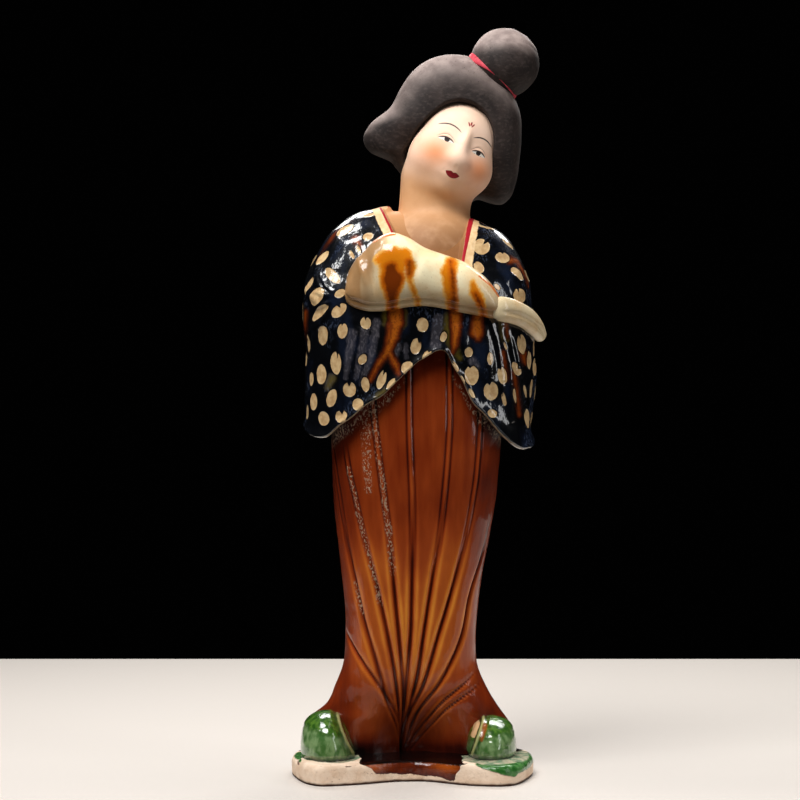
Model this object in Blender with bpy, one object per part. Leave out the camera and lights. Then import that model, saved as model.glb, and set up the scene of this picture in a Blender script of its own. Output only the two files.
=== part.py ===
"""Standing court lady in glazed earthenware, cast in one piece with its base.

The figure is drawn in equal parts of its own height and grows out of a low base that has a
round lobe under each shoe. Each form is a closed surface over a grid of two parameters, and
Boolean unions make them one casting. Metres, +Z up, the face towards -Y, origin at the middle
of the base's underside.
"""
import math

import bmesh
import bpy
import numpy as np

# Driving dimensions in metres
FIGURE_HEIGHT = 0.438        # from the top of the base to the top of the bun
BASE_THICKNESS = 0.012
BASE_EDGE_RADIUS = 0.004     # rounding of the base's upper edge
SEAT_DEPTH = 0.002           # how far the skirt runs down into the base
SHOE_SEAT_DEPTH = 0.003      # and how far the shoes do

# The figure is drawn in parts: heights count from the base's top, x and y from the middle
PARTS_IN_HEIGHT = 438.0
PART = FIGURE_HEIGHT / PARTS_IN_HEIGHT

# Base: its plan as (degrees from the front, reach), two lobes with a shallow bay between
BASE_PLAN = ((-180, 50), (-150, 54.3), (-125, 64.5), (-105, 71.5), (-88, 73), (-73, 73), (-63, 74.5),
             (-52.5, 75.7), (-46.5, 74), (-41, 64.6), (-34.6, 54.2), (-26.5, 43), (-18, 36.8),
             (-8, 33.8), (2, 33), (12, 34.3), (21, 39), (27.5, 47), (34.6, 58.4), (41.4, 67.8),
             (45, 72.8), (49.5, 75.5), (56, 75.8), (67, 73.7), (76, 73), (91, 73), (105, 71.5),
             (125, 64.5), (150, 54.3), (180, 50))

# Skirt: its four sides at each height
SKIRT_LEFT = ((0, -66), (10, -66), (20, -62.5), (27, -53.5), (41, -46), (53, -41.5), (68, -40),
              (93, -40.7), (122, -43.7), (151, -47.3), (180, -48.5), (245, -51))
SKIRT_RIGHT = ((0, 62), (10, 62), (17, 59), (24, 54), (41, 43.5), (53, 38.8), (68, 38),
               (93, 39.5), (122, 44.3), (151, 49.7), (180, 52.7), (245, 55))
SKIRT_FRONT = ((0, -9), (20, -11), (48, -18), (78, -25), (108, -31), (148, -37), (188, -41),
               (245, -43))
SKIRT_BACK = ((0, 45), (20, 42), (48, 37), (78, 34), (108, 32), (148, 30), (245, 31))
SKIRT_FULLNESS = 0.86        # under 1 the section is fuller than an ellipse
HOLLOW_DEPTH = 19.0          # the skirt falls back between the shoes
HOLLOW_HALF_WIDTH = 22.0
HOLLOW_HEIGHT = 30.0

# Pleats: seams that run from the bodice and gather between the shoes, in degrees at the top
PLEATS = (-71, -51, -31, -4, 16, 43, 66)
PLEAT_GROOVE_OFFSET = 3.6    # degrees from a pleat's welt to the groove on each side
PLEAT_WELT = 0.9
PLEAT_GROOVE = 1.3
PANEL_SWELL = 1.6            # how far the cloth swells between two pleats, low down
PLEAT_LEAST = 0.25           # share of their relief that the pleats keep at the foot
GATHER_FOOT = 13.0           # height where the pleats come together
GATHER_TOP = 203.0
GATHER_LEAST = 0.10          # share of their spacing that the pleats keep there

# Robe: hem height at each angle, then its four sides at each station
ROBE_HEM = ((-180, 208), (-150, 205), (-120, 201), (-95, 198.5), (-84, 196.5), (-71, 193),
            (-59, 190.8), (-48, 192), (-39, 198), (-32, 202), (-22, 210.4), (-14, 215.8),
            (-8, 223.8), (-3, 231.3), (1, 238), (5, 241.8), (8, 241), (11, 233), (16, 223.8),
            (21, 213.3), (30, 204), (40, 193.4), (46, 189.2), (57, 184.4), (69, 184.2),
            (80, 185), (90, 188), (110, 197), (145, 204), (180, 208))
SHOULDER_HEIGHT = 288.0      # stations above it turn over the shoulders
SHOULDER_TOP = 330.0
ROBE_LEFT = ((180, -64), (201, -64), (237, -63.5), (266, -66), (278, -65.5), (288, -63.4),
             (297, -57.5), (303, -52.7), (308.4, -46.7), (315.5, -37), (322.6, -26), (330, -11))
ROBE_RIGHT = ((180, 72.5), (201, 71.4), (237, 73.8), (266, 72.6), (278, 71.5), (288, 69),
              (297, 63.5), (303, 58), (308.4, 48.5), (315.5, 31.6), (322.6, 14), (330, -11))
ROBE_FRONT = ((180, -46), (201, -47), (237, -49), (266, -51), (278, -50), (288, -46),
              (297, -40), (303, -35), (308.4, -28), (315.5, -19), (322.6, -9), (330, 3))
ROBE_BACK = ((180, 43), (201, 42), (237, 40), (266, 41), (288, 40), (297, 38), (303, 35),
             (308.4, 31), (315.5, 24), (322.6, 16), (330, 3))
ROBE_FULLNESS = 0.80
HEM_LIP = 2.0                # height of the rounded lower edge of the robe
HEM_HOLLOW = 9.0             # how far the underside of the hem rises inwards at the sides
HEM_INSET = 1.0              # how far the hem's lowest ring lies inside the robe

# Robe folds: start and end as (angle, height), then half width and rise
ROBE_RADIUS = 60.0           # turns the angle between two folds into parts
ROBE_FOLDS = (((-34, 258), (-40, 205), 4.0, 1.6), ((-24, 256), (-31, 222), 3.5, 1.4),
              ((-13, 258), (-16, 232), 3.5, 1.2), ((14, 258), (16, 240), 4.0, 1.1),
              ((27, 258), (31, 222), 4.0, 1.4), ((38, 256), (52, 200), 4.5, 1.9),
              ((50, 252), (66, 205), 4.5, 1.6), ((-46, 268), (-80, 282), 3.5, 1.6),
              ((-46, 262), (-74, 250), 3.5, 1.5), ((-47, 272), (-70, 300), 3.5, 1.3),
              ((84, 236), (92, 200), 6.0, 1.5), ((-84, 240), (-92, 205), 6.0, 1.5),
              ((140, 285), (112, 215), 7.0, 1.8), ((-140, 285), (-112, 215), 7.0, 1.8),
              ((170, 300), (165, 225), 8.0, 1.4), ((-170, 300), (-165, 225), 8.0, 1.4))

# Sleeves folded over the hands: stations of x, top, bottom and front
MUFF_STATIONS = ((-40, 276, 274, -46), (-38.7, 286, 270, -51), (-35, 293.5, 267, -55),
                 (-29, 300, 265.5, -58), (-22, 307, 265, -61), (-13, 311, 265.5, -63),
                 (-3, 308.5, 267.5, -63), (7, 302.5, 268, -62), (18, 298.5, 266.5, -61),
                 (30, 294, 264, -60), (40, 287.5, 262, -58), (47, 280, 261, -55),
                 (51, 273, 262.5, -51), (52, 268, 266.5, -47))
MUFF_BACK = -28.0
MUFF_FULLNESS = 0.9
CUFF_STATIONS = ((44, -44, 267, 3), (50, -49, 266.5, 7.0), (57, -45, 265.5, 7.4),
                 (63.5, -38, 263.4, 7.2), (69.5, -29, 260, 7.4), (74, -19, 256, 6.6),
                 (76, -12, 253, 4.8), (76.5, -9, 251, 1.6))  # x, y, height, half height
CUFF_HALF_THICKNESS = 4.2

# Shoes: x, y, height, half width and the power of the inner side; the toes turn up
SHOES = ((-50.2, -9.0, 26.8, 16.9, 1.05), (47.3, -5.0, 22.9, 15.1, 2.5))
SHOE_HALF_DEPTH = 26.5
SHOE_OUTER = 4.5             # power of a toe's outer side: upright, then a quick turn
SHOE_DEPTH_POWER = 3.0

# Head: centre, and how it turns; forms in its own frame of right, forward and up
HEAD_CENTRE = (25.6, -3.0, 364.0)
HEAD_ROLL = math.radians(23)
HEAD_YAW = math.radians(10)
HEAD_FORMS = (((0, -3, 3), (25, 25, 29)), ((0, 4, -9), (25.5, 20.5, 20)),
              ((0, 15, -22), (8, 7, 6.5)), ((-9, 12, -10), (12, 11, 11)),
              ((9, 12, -10), (12, 11, 11)), ((0, 4, -25), (15, 13, 8)))
NOSE_FORMS = (((0, 23.0, -1.5), (2.6, 4.0, 8.5)), ((0, 25.2, -7.5), (3.6, 3.2, 2.8)))
LIP_FORM = ((0, 21.6, -16.5), (5.0, 3.0, 2.4))
NECK_BOTTOM = (12.0, 3.0, 312.0)
NECK_TOP = (14.5, 2.0, 346.0)
NECK_RADIUS = 21.3
CHEST_FORM = ((12, -7, 303), (30, 28, 24))
FORM_BLEND = 2.2             # how softly the forms of the head run into each other
HEAD_START = 0.5             # share of the rows that lies below the head's own rays
HEAD_REACH = 60.0            # a ray this long always ends outside the forms
HALVINGS = 30                # how often a ray's length is halved
HEAD_RAYS = ((0, 12, -2, 306, -60), (0.15, 12.5, -1, 318, -35), (0.3, 14, 0, 332, -22),
             (0.4, 18, -1, 346, -32), (0.5, 25.6, -3, 364, -50), (0.75, 25.6, -3, 364, 18),
             (1, 25.6, -3, 364, 90))  # share of the rows, source x, y, height and lift in degrees

# Hair: outline and face opening seen from the front, as (degrees from +X, radius)
HAIR_OUTLINE = ((-180, 51), (-174, 41), (-166, 37), (-145, 34), (-110, 32), (-75, 32), (-60, 33),
                (-55.5, 36.5), (-48, 42.5), (-40.8, 44), (-27.7, 42), (-10, 39.9), (14, 41.8),
                (30, 45.9), (60, 52), (84, 58), (100, 58.3), (117, 55), (131, 50.3), (146.7, 47.5),
                (163.9, 54.5), (170.5, 56), (177.3, 53.5), (180, 51))
HAIR_OPENING = ((-180, 32), (-170, 33), (-155, 30), (-120, 24), (-80, 24), (-59, 28), (-37.5, 26),
                (-15, 23.6), (13, 24.4), (28.5, 26), (48.6, 28), (66.5, 29), (84, 29), (103, 27.5),
                (125, 25.5), (150, 26), (177, 30.5), (180, 32))
HAIR_RIM = ((-180, -5), (-120, 14), (-75, 14), (-50, 0), (-15, -10), (30, -14), (66, -16),
            (90, -16), (120, -14), (150, -12), (180, -5))
HAIR_WIDEST = 0.42           # where the outline is widest, from the rim to the back
HAIR_BACK = 41.0             # depth of the back of the hair behind the head's centre
HAIR_FULLNESS = 0.85
HAIR_LIP = 2.0               # how far the opening narrows inside the head
HAIR_ROOT = 5.0              # depth, inside the head, where the opening closes
HAIR_CORE = 0.4              # the opening's share that is left there
HAIR_FRONT_STEPS = (0, 0.25, 0.5, 0.75)               # quarter turns from rim to outline
HAIR_BACK_STEPS = (0, 0.17, 0.34, 0.5, 0.66, 0.82)    # and from outline to back

# Bun: from its root to its tip, with its half width along the way
BUN_ROOT = (45.2, 3.0, 404.5)
BUN_TIP = (69.1, 2.0, 433.3)
BUN_PROFILE = ((0, 12), (0.16, 18), (0.27, 19.8), (0.43, 20.8), (0.59, 20.3), (0.75, 17.6),
               (0.88, 12.8), (0.96, 7.5), (1, 0.6))

# Grid sizes of the solids
BASE_COLUMNS = 96
BASE_EDGE_STEPS = 4
FRONT_GAP_COLUMNS = 2        # columns between two pleats
BACK_GAP_COLUMNS = 23        # and in the wide gap behind
BACK_GAP = 60.0              # a gap wider than this, in degrees, is the one behind
SKIRT_ROWS = 13
ROBE_ROWS = 19
MUFF_COLUMNS = 20
CUFF_COLUMNS = 12
SHOE_COLUMNS = 24
SHOE_ROWS = 8
HEAD_COLUMNS = 36
HEAD_ROWS = 28
HAIR_COLUMNS = 34
BUN_COLUMNS = 20


def through(place, points):
    """Smooth curve through (place, value) points: cubics with slopes from the neighbours."""
    places, values = np.array(points, dtype=float).T
    slopes = np.gradient(values, places)
    place = np.clip(place, places[0], places[-1])
    piece = np.clip(np.searchsorted(places, place, side="right") - 1, 0, len(places) - 2)
    width = places[piece + 1] - places[piece]
    t = (place - places[piece]) / width
    rise = (3 - 2 * t) * t * t
    return (values[piece] * (1 - rise) + values[piece + 1] * rise
            + width * t * (1 - t) * (slopes[piece] * (1 - t) - slopes[piece + 1] * t))


def power(value, exponent):
    """Power of a number's size, with the sign kept."""
    return np.sign(value) * np.abs(value) ** exponent


def bell(distance, half_width):
    """Smooth bump: 1 in the middle, falling off over the half width."""
    return np.exp(-(distance / half_width) ** 2)


def placed(x, y, height):
    """World points from parts: scaled, and lifted onto the base."""
    x, y, height = np.broadcast_arrays(x, y, height)
    return np.stack((x * PART, y * PART, BASE_THICKNESS + height * PART), axis=-1)


def section(angle, left, right, front, back, fullness):
    """Superellipse around the middle of its four sides; angle 0 is the front, 90 degrees +X."""
    x = (left + right) / 2 + (right - left) / 2 * power(np.sin(angle), fullness)
    y = (front + back) / 2 + (front - back) / 2 * power(np.cos(angle), fullness)
    return x, y


def gathered(angle, height):
    """Angle of a pleat lower down: s*m + (1-m)*s^3 of a half turn, where m shrinks to the foot."""
    rise = np.clip((height - GATHER_FOOT) / (GATHER_TOP - GATHER_FOOT), 0, 1)
    spacing = GATHER_LEAST + (1 - GATHER_LEAST) * np.sin(rise * math.pi / 2)
    share = angle / math.pi
    return math.pi * (share * spacing + (1 - spacing) * share ** 3)


def pleat_relief(angle, height):
    """Narrow welts with a groove on each side, and cloth that swells between two pleats."""
    degrees = np.degrees(angle)
    relief = np.zeros_like(degrees)
    for pleat in PLEATS:
        relief += PLEAT_WELT * bell(degrees - pleat, PLEAT_GROOVE_OFFSET / 2)
        relief -= PLEAT_GROOVE * bell(degrees - pleat + PLEAT_GROOVE_OFFSET, PLEAT_GROOVE_OFFSET / 2)
        relief -= PLEAT_GROOVE * bell(degrees - pleat - PLEAT_GROOVE_OFFSET, PLEAT_GROOVE_OFFSET / 2)
    low = np.clip(1 - height / GATHER_TOP, 0, 1)
    for first, second in zip(PLEATS, PLEATS[1:]):
        across = np.clip((degrees - first) / (second - first), 0, 1)
        relief += PANEL_SWELL * low * np.sin(math.pi * across)
    foot = np.clip(height / HOLLOW_HEIGHT, 0, 1)
    return relief * (PLEAT_LEAST + (1 - PLEAT_LEAST) * foot)


def skirt_point(angle, height):
    """Point of the skirt: its section, gathered, hollowed between the shoes and pleated."""
    turned = gathered(angle, height)
    x, y = section(turned, through(height, SKIRT_LEFT), through(height, SKIRT_RIGHT),
                   through(height, SKIRT_FRONT), through(height, SKIRT_BACK), SKIRT_FULLNESS)
    facing = np.clip(np.cos(turned), 0, 1)
    y = y + HOLLOW_DEPTH * bell(x, HOLLOW_HALF_WIDTH) * bell(height, HOLLOW_HEIGHT) * facing
    relief = pleat_relief(angle, height)
    return placed(x + relief * np.sin(turned), y - relief * np.cos(turned), height)


def fold_relief(angle, height):
    """Soft folds: a bell across the line from start to end, faded at both ends."""
    relief = np.zeros(np.broadcast(angle, height).shape)
    reach = math.radians(1) * ROBE_RADIUS
    for start, end, half_width, rise in ROBE_FOLDS:
        across = (np.degrees(angle) - start[0]) * reach
        up = height - start[1]
        run = (end[0] - start[0]) * reach
        climb = end[1] - start[1]
        length = math.hypot(run, climb)
        along = (across * run + up * climb) / length ** 2
        aside = (across * climb - up * run) / length
        fade = np.clip(1 - (2 * along - 1) ** 2, 0, 1)
        relief += rise * bell(aside, half_width) * np.sqrt(fade)
    return relief


def robe_point(angle, station, inset=0.0):
    """Point of the robe. Stations are heights, and turn over the shoulder as a quarter circle."""
    turn = np.clip((station - SHOULDER_HEIGHT) / (SHOULDER_TOP - SHOULDER_HEIGHT), 0, 1)
    height = np.where(station > SHOULDER_HEIGHT,
                      SHOULDER_HEIGHT + (SHOULDER_TOP - SHOULDER_HEIGHT) * np.sin(turn * math.pi / 2),
                      station)
    x, y = section(angle, through(station, ROBE_LEFT), through(station, ROBE_RIGHT),
                   through(station, ROBE_FRONT), through(station, ROBE_BACK), ROBE_FULLNESS)
    relief = fold_relief(angle, height) - inset
    return placed(x + relief * np.sin(angle), y - relief * np.cos(angle), height)


def pleat_columns():
    """Angles of the body's columns: three on each pleat, two between, and even ones behind."""
    angles = []
    for first, second in zip(PLEATS, PLEATS[1:] + (PLEATS[0] + 360,)):
        angles += [first - PLEAT_GROOVE_OFFSET, first, first + PLEAT_GROOVE_OFFSET]
        gap = second - first - 2 * PLEAT_GROOVE_OFFSET
        between = FRONT_GAP_COLUMNS if gap < BACK_GAP else BACK_GAP_COLUMNS
        for step in range(between):
            angles.append(first + PLEAT_GROOVE_OFFSET + gap * (step + 1) / (between + 1))
    turned = np.mod(np.array(angles) + 180, 360) - 180
    return np.radians(np.sort(turned))


def body_rings():
    """Rings of skirt and robe, from inside the base to the shoulders."""
    angle = pleat_columns()
    hem = through(np.degrees(angle), ROBE_HEM)
    sunk = skirt_point(angle, np.zeros_like(angle))
    sunk[:, 2] = BASE_THICKNESS - SEAT_DEPTH
    rings = [sunk]
    seam = hem + HEM_HOLLOW * np.sin(angle) ** 2
    for row in range(1, SKIRT_ROWS + 1):
        rings.append(skirt_point(angle, seam * (row / SKIRT_ROWS)))
    rings.append(robe_point(angle, hem, inset=HEM_INSET))
    rings += [robe_point(angle, hem + HEM_LIP + (SHOULDER_TOP - hem - HEM_LIP) * row / ROBE_ROWS)
              for row in range(ROBE_ROWS)]
    return np.array(rings)


def muff_rings():
    """Rings of the folded sleeves, from the left end to the right one."""
    angle = np.linspace(0, 2 * math.pi, MUFF_COLUMNS, endpoint=False)
    rings = []
    for x, top, bottom, front in MUFF_STATIONS:
        height = (top + bottom) / 2 + (top - bottom) / 2 * power(np.sin(angle), MUFF_FULLNESS)
        y = (front + MUFF_BACK) / 2 + (front - MUFF_BACK) / 2 * power(np.cos(angle), MUFF_FULLNESS)
        rings.append(placed(x, y, height))
    return np.array(rings)


def cuff_rings():
    """Rings of the loose sleeve end that curls round the right side of the robe."""
    angle = np.linspace(0, 2 * math.pi, CUFF_COLUMNS, endpoint=False)
    stations = np.array(CUFF_STATIONS, dtype=float)
    run = np.gradient(stations[:, :2], axis=0)
    run /= np.linalg.norm(run, axis=1, keepdims=True)
    rings = []
    for (x, y, height, half), (run_x, run_y) in zip(stations, run):
        out = CUFF_HALF_THICKNESS * min(1, half / CUFF_HALF_THICKNESS) * np.cos(angle)
        rings.append(placed(x + out * run_y, y - out * run_x, height + half * np.sin(angle)))
    return np.array(rings)


def shoe_rings(x_middle, y_middle, height, half_width, inner):
    """Rings of an upturned toe: each side narrows upwards as the root of 1 - share ** power."""
    angle = np.linspace(0, 2 * math.pi, SHOE_COLUMNS, endpoint=False)
    side = np.where(np.sin(angle) * x_middle > 0, SHOE_OUTER, inner)
    rings = []
    for row in range(SHOE_ROWS):
        share = math.sin(row / SHOE_ROWS * math.pi / 2)
        wide = half_width * np.sqrt(1 - share ** side)
        deep = SHOE_HALF_DEPTH * math.sqrt(1 - share ** SHOE_DEPTH_POWER)
        rings.append(placed(x_middle + wide * np.sin(angle), y_middle - deep * np.cos(angle), height * share))
    sunk = rings[0].copy()
    sunk[:, 2] = BASE_THICKNESS - SHOE_SEAT_DEPTH
    return np.array([sunk] + rings)


def head_frame():
    """Directions right, forward and up of the head, as rows."""
    up = np.array((math.sin(HEAD_ROLL), 0.0, math.cos(HEAD_ROLL)))
    flat = np.array((math.cos(HEAD_ROLL), 0.0, -math.sin(HEAD_ROLL)))
    toward = np.array((0.0, -1.0, 0.0))
    forward = toward * math.cos(HEAD_YAW) + flat * math.sin(HEAD_YAW)
    right = flat * math.cos(HEAD_YAW) - toward * math.sin(HEAD_YAW)
    return np.array((right, forward, up))


def form_distance(points, centre, radii):
    """Rough distance to an ellipsoid: its scaled radius less one, times its least radius."""
    return (np.linalg.norm((points - centre) / radii, axis=-1) - 1) * min(radii)


def head_field(points):
    """Below zero inside head, neck and chest: a soft union of their forms."""
    local = (points - HEAD_CENTRE) @ head_frame().T
    distances = [form_distance(local, *form) for form in HEAD_FORMS + NOSE_FORMS + (LIP_FORM,)]
    distances.append(form_distance(points, *CHEST_FORM))
    axis = np.subtract(NECK_TOP, NECK_BOTTOM)
    along = np.clip((points - NECK_BOTTOM) @ axis / (axis @ axis), 0, 1)
    nearest = NECK_BOTTOM + along[..., None] * axis
    distances.append(np.linalg.norm(points - nearest, axis=-1) - NECK_RADIUS)
    return -FORM_BLEND * np.log(sum(np.exp(-distance / FORM_BLEND) for distance in distances))


def head_rings():
    """Rings where rays from the neck's and head's axis leave the forms, found by halving."""
    turn = np.linspace(0, 2 * math.pi, HEAD_COLUMNS, endpoint=False)
    row = (np.arange(HEAD_ROWS) + 0.5) / HEAD_ROWS
    shares, x, y, height, lift = zip(*HEAD_RAYS)
    middle = np.stack([through(row, tuple(zip(shares, keys))) for keys in (x, y, height)], axis=-1)
    lift = np.radians(through(row, tuple(zip(shares, lift))))
    right, forward, up = head_frame()
    lean = np.clip(row / HEAD_START, 0, 1)[:, None, None]
    aside = lean * right + (1 - lean) * np.array((1.0, 0.0, 0.0))
    ahead = lean * forward + (1 - lean) * np.array((0.0, -1.0, 0.0))
    above = lean * up + (1 - lean) * np.array((0.0, 0.0, 1.0))
    ray = (np.cos(lift)[:, None, None] * (np.sin(turn)[:, None] * aside + np.cos(turn)[:, None] * ahead)
           + np.sin(lift)[:, None, None] * above)
    near = np.zeros((HEAD_ROWS, HEAD_COLUMNS))
    far = np.full((HEAD_ROWS, HEAD_COLUMNS), HEAD_REACH)
    for _ in range(HALVINGS):
        half = (near + far) / 2
        inside = head_field(middle[:, None] + half[..., None] * ray) < 0
        near = np.where(inside, half, near)
        far = np.where(inside, far, half)
    points = middle[:, None] + near[..., None] * ray
    return placed(points[..., 0], points[..., 1], points[..., 2])


def hair_rings():
    """Rings round the line of sight: out of the head, over the rim, the outline and the back."""
    angle = np.linspace(-math.pi, math.pi, HAIR_COLUMNS, endpoint=False)
    degrees = np.degrees(angle)
    outline = through(degrees, HAIR_OUTLINE)
    opening = through(degrees, HAIR_OPENING)
    rim = through(degrees, HAIR_RIM)
    middle = rim + HAIR_WIDEST * (HAIR_BACK - rim)
    shapes = [(opening * HAIR_CORE, np.full_like(opening, HAIR_ROOT)),
              (opening - HAIR_LIP, (rim + HAIR_ROOT) / 2)]
    for step in HAIR_FRONT_STEPS:
        turn = step * math.pi / 2
        shapes.append((opening + (outline - opening) * math.sin(turn) ** HAIR_FULLNESS,
                       middle + (rim - middle) * math.cos(turn) ** HAIR_FULLNESS))
    for step in HAIR_BACK_STEPS:
        turn = step * math.pi / 2
        shapes.append((outline * math.cos(turn) ** HAIR_FULLNESS,
                       middle + (HAIR_BACK - middle) * math.sin(turn) ** HAIR_FULLNESS))
    x, y, height = HEAD_CENTRE
    return np.array([placed(x + radius * np.cos(angle), y + depth, height + radius * np.sin(angle))
                     for radius, depth in shapes])


def bun_rings():
    """Rings of the bun round its own axis."""
    angle = np.linspace(0, 2 * math.pi, BUN_COLUMNS, endpoint=False)
    root, tip = np.array(BUN_ROOT), np.array(BUN_TIP)
    axis = (tip - root) / np.linalg.norm(tip - root)
    aside = np.cross(axis, (0.0, 1.0, 0.0))
    aside /= np.linalg.norm(aside)
    behind = np.cross(axis, aside)
    rings = []
    for share, half_width in BUN_PROFILE:
        ring = (root + (tip - root) * share
                + half_width * (np.cos(angle)[:, None] * aside + np.sin(angle)[:, None] * behind))
        rings.append(placed(*ring.T))
    return np.array(rings)


def base_rings():
    """Rings of the base: its plan, upright and then rounded at the upper edge."""
    angle = np.linspace(-math.pi, math.pi, BASE_COLUMNS, endpoint=False)
    across, ahead = np.sin(angle), -np.cos(angle)
    reach = through(np.degrees(angle), BASE_PLAN) * PART
    rings = [np.stack((reach * across, reach * ahead, 0 * reach), axis=-1)]
    for step in range(BASE_EDGE_STEPS + 1):
        turn = step / BASE_EDGE_STEPS * math.pi / 2
        inner = reach - BASE_EDGE_RADIUS * (1 - math.cos(turn))
        level = BASE_THICKNESS - BASE_EDGE_RADIUS * (1 - math.sin(turn))
        rings.append(np.stack((inner * across, inner * ahead, level + 0 * reach), axis=-1))
    return np.array(rings)


def glaze(name, colour, roughness):
    """Plain glazed or painted finish."""
    material = bpy.data.materials.new(name)
    material.use_nodes = True
    shader = material.node_tree.nodes["Principled BSDF"]
    shader.inputs["Base Color"].default_value = (*colour, 1.0)
    shader.inputs["Roughness"].default_value = roughness
    shader.inputs["Metallic"].default_value = 0.0
    material.diffuse_color = (*colour, 1.0)
    return material


def closed_form(name, rings, material):
    """Object from rings of points: quads between the rings and a fan at each end."""
    rows, columns = rings.shape[:2]
    corners = np.arange(rows * columns).reshape(rows, columns)
    beside = np.roll(corners, -1, axis=1)
    faces = np.stack((corners[:-1], beside[:-1], beside[1:], corners[1:]), axis=-1).reshape(-1, 4)
    start, end = rows * columns, rows * columns + 1
    faces = faces.tolist()
    faces += [(start, b, a) for a, b in zip(corners[0].tolist(), beside[0].tolist())]
    faces += [(end, a, b) for a, b in zip(corners[-1].tolist(), beside[-1].tolist())]
    points = np.vstack((rings.reshape(-1, 3), rings[0].mean(axis=0), rings[-1].mean(axis=0)))
    mesh = bpy.data.meshes.new(name)
    mesh.from_pydata(points.tolist(), [], faces)
    form = bmesh.new()
    form.from_mesh(mesh)
    bmesh.ops.recalc_face_normals(form, faces=form.faces)
    form.to_mesh(mesh)
    form.free()
    mesh.materials.append(material)
    mesh.shade_smooth()
    shape = bpy.data.objects.new(name, mesh)
    bpy.context.collection.objects.link(shape)
    return shape


def join(body, form):
    """Boolean union of a form into the body; the form itself is only a guide."""
    form.hide_render = True
    form.display_type = "WIRE"
    union = body.modifiers.new("with " + form.name, "BOOLEAN")
    union.operation = "UNION"
    union.solver = "EXACT"
    union.material_mode = "TRANSFER"
    union.object = form


def build():
    """The whole casting: skirt and robe, with every other form joined in."""
    for old in list(bpy.data.objects):
        bpy.data.objects.remove(old, do_unlink=True)
    amber = glaze("amber glaze", (0.30, 0.075, 0.012), 0.12)
    clay = glaze("bare clay", (0.72, 0.55, 0.42), 0.85)
    green = glaze("green glaze", (0.06, 0.24, 0.07), 0.12)
    cream = glaze("cream glaze", (0.76, 0.60, 0.38), 0.25)
    flesh = glaze("painted flesh", (0.84, 0.60, 0.44), 0.6)
    dark = glaze("painted hair", (0.045, 0.035, 0.033), 0.8)
    body = closed_form("court_lady", body_rings(), amber)
    for number, shoe in enumerate(SHOES, start=1):
        join(body, closed_form(f"shoe form {number}", shoe_rings(*shoe), green))
    join(body, closed_form("base form", base_rings(), clay))
    join(body, closed_form("sleeve form", muff_rings(), cream))
    join(body, closed_form("cuff form", cuff_rings(), cream))
    join(body, closed_form("head form", head_rings(), flesh))
    join(body, closed_form("hair form", hair_rings(), dark))
    join(body, closed_form("bun form", bun_rings(), dark))


build()
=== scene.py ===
# %% [markdown]
# # A glazed court lady
# The object is a hollow earthenware figure, cast in a mould in one piece with its base. The
# dress is glazed in amber, blue-black, cream and green, which ran in the kiln. Face, neck and
# hair stayed unglazed and were painted cold. A casting has no separate parts, but each finish
# is its own piece here, so that a reader can follow one surface and one material at a time.

# %% Load the frame
import itertools
import math

import bpy
import numpy as np
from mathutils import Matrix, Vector


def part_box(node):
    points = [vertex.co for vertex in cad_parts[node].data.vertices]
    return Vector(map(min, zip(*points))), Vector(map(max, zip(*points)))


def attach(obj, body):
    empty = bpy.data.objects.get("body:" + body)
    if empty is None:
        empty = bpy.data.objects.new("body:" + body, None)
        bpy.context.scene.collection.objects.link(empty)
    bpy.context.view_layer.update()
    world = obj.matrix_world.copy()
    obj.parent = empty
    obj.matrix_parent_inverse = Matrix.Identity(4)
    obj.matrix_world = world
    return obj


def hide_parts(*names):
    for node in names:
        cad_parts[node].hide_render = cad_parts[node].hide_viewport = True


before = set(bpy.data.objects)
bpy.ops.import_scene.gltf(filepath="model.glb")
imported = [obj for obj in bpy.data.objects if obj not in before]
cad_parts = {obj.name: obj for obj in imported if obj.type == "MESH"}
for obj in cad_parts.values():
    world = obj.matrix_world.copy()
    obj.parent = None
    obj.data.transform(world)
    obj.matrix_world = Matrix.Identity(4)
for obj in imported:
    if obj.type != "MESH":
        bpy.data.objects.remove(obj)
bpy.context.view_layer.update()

# %% [markdown]
# ## Parts of the figure's height
# A sculptor measures a figure in parts of its own height. Here the height from the top of the
# base to the top of the bun is 438 parts, so a part is close to a millimetre. Every size below
# is in parts unless it says metres, and heights count from the top of the base.

# %% Parts
BASE_THICKNESS = 0.012       # metres
PARTS_IN_HEIGHT = 438.0
PART = (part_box("court_lady")[1][2] - BASE_THICKNESS) / PARTS_IN_HEIGHT
print("one part, mm:", round(PART * 1000, 4))


def to_metres(points):
    """Points in metres from parts: scaled, and lifted onto the base."""
    return points * PART + (0, 0, BASE_THICKNESS)


def placed(x, y, height):
    """Points in metres from their three coordinates in parts."""
    return to_metres(np.stack(np.broadcast_arrays(x, y, height), axis=-1))


# %% [markdown]
# ## Curves, bells and clouds
# A few small functions draw everything. A curve through a few keys gives outlines, a bell gives
# welts and grooves, a smooth step gives soft changes, and a cloud of random values keeps
# handmade surfaces from looking turned on a lathe. Most sections are superellipses, whose one
# number for fullness goes from a diamond over an oval to a box.

# %% Curves
def through(place, keys):
    """Smooth curve through (place, value) keys: cubics with slopes from the neighbours."""
    places, values = np.array(keys, dtype=float).T
    slopes = np.gradient(values, places)
    place = np.clip(place, places[0], places[-1])
    piece = np.clip(np.searchsorted(places, place, side="right") - 1, 0, len(places) - 2)
    width = places[piece + 1] - places[piece]
    t = (place - places[piece]) / width
    rise = (3 - 2 * t) * t * t
    return (values[piece] * (1 - rise) + values[piece + 1] * rise
            + width * t * (1 - t) * (slopes[piece] * (1 - t) - slopes[piece + 1] * t))


def station_curves(along, stations):
    """A smooth curve through each column of a table of stations, at places counted in stations."""
    numbers = range(len(stations))
    return [through(along, tuple(zip(numbers, column))) for column in zip(*stations)]


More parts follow.
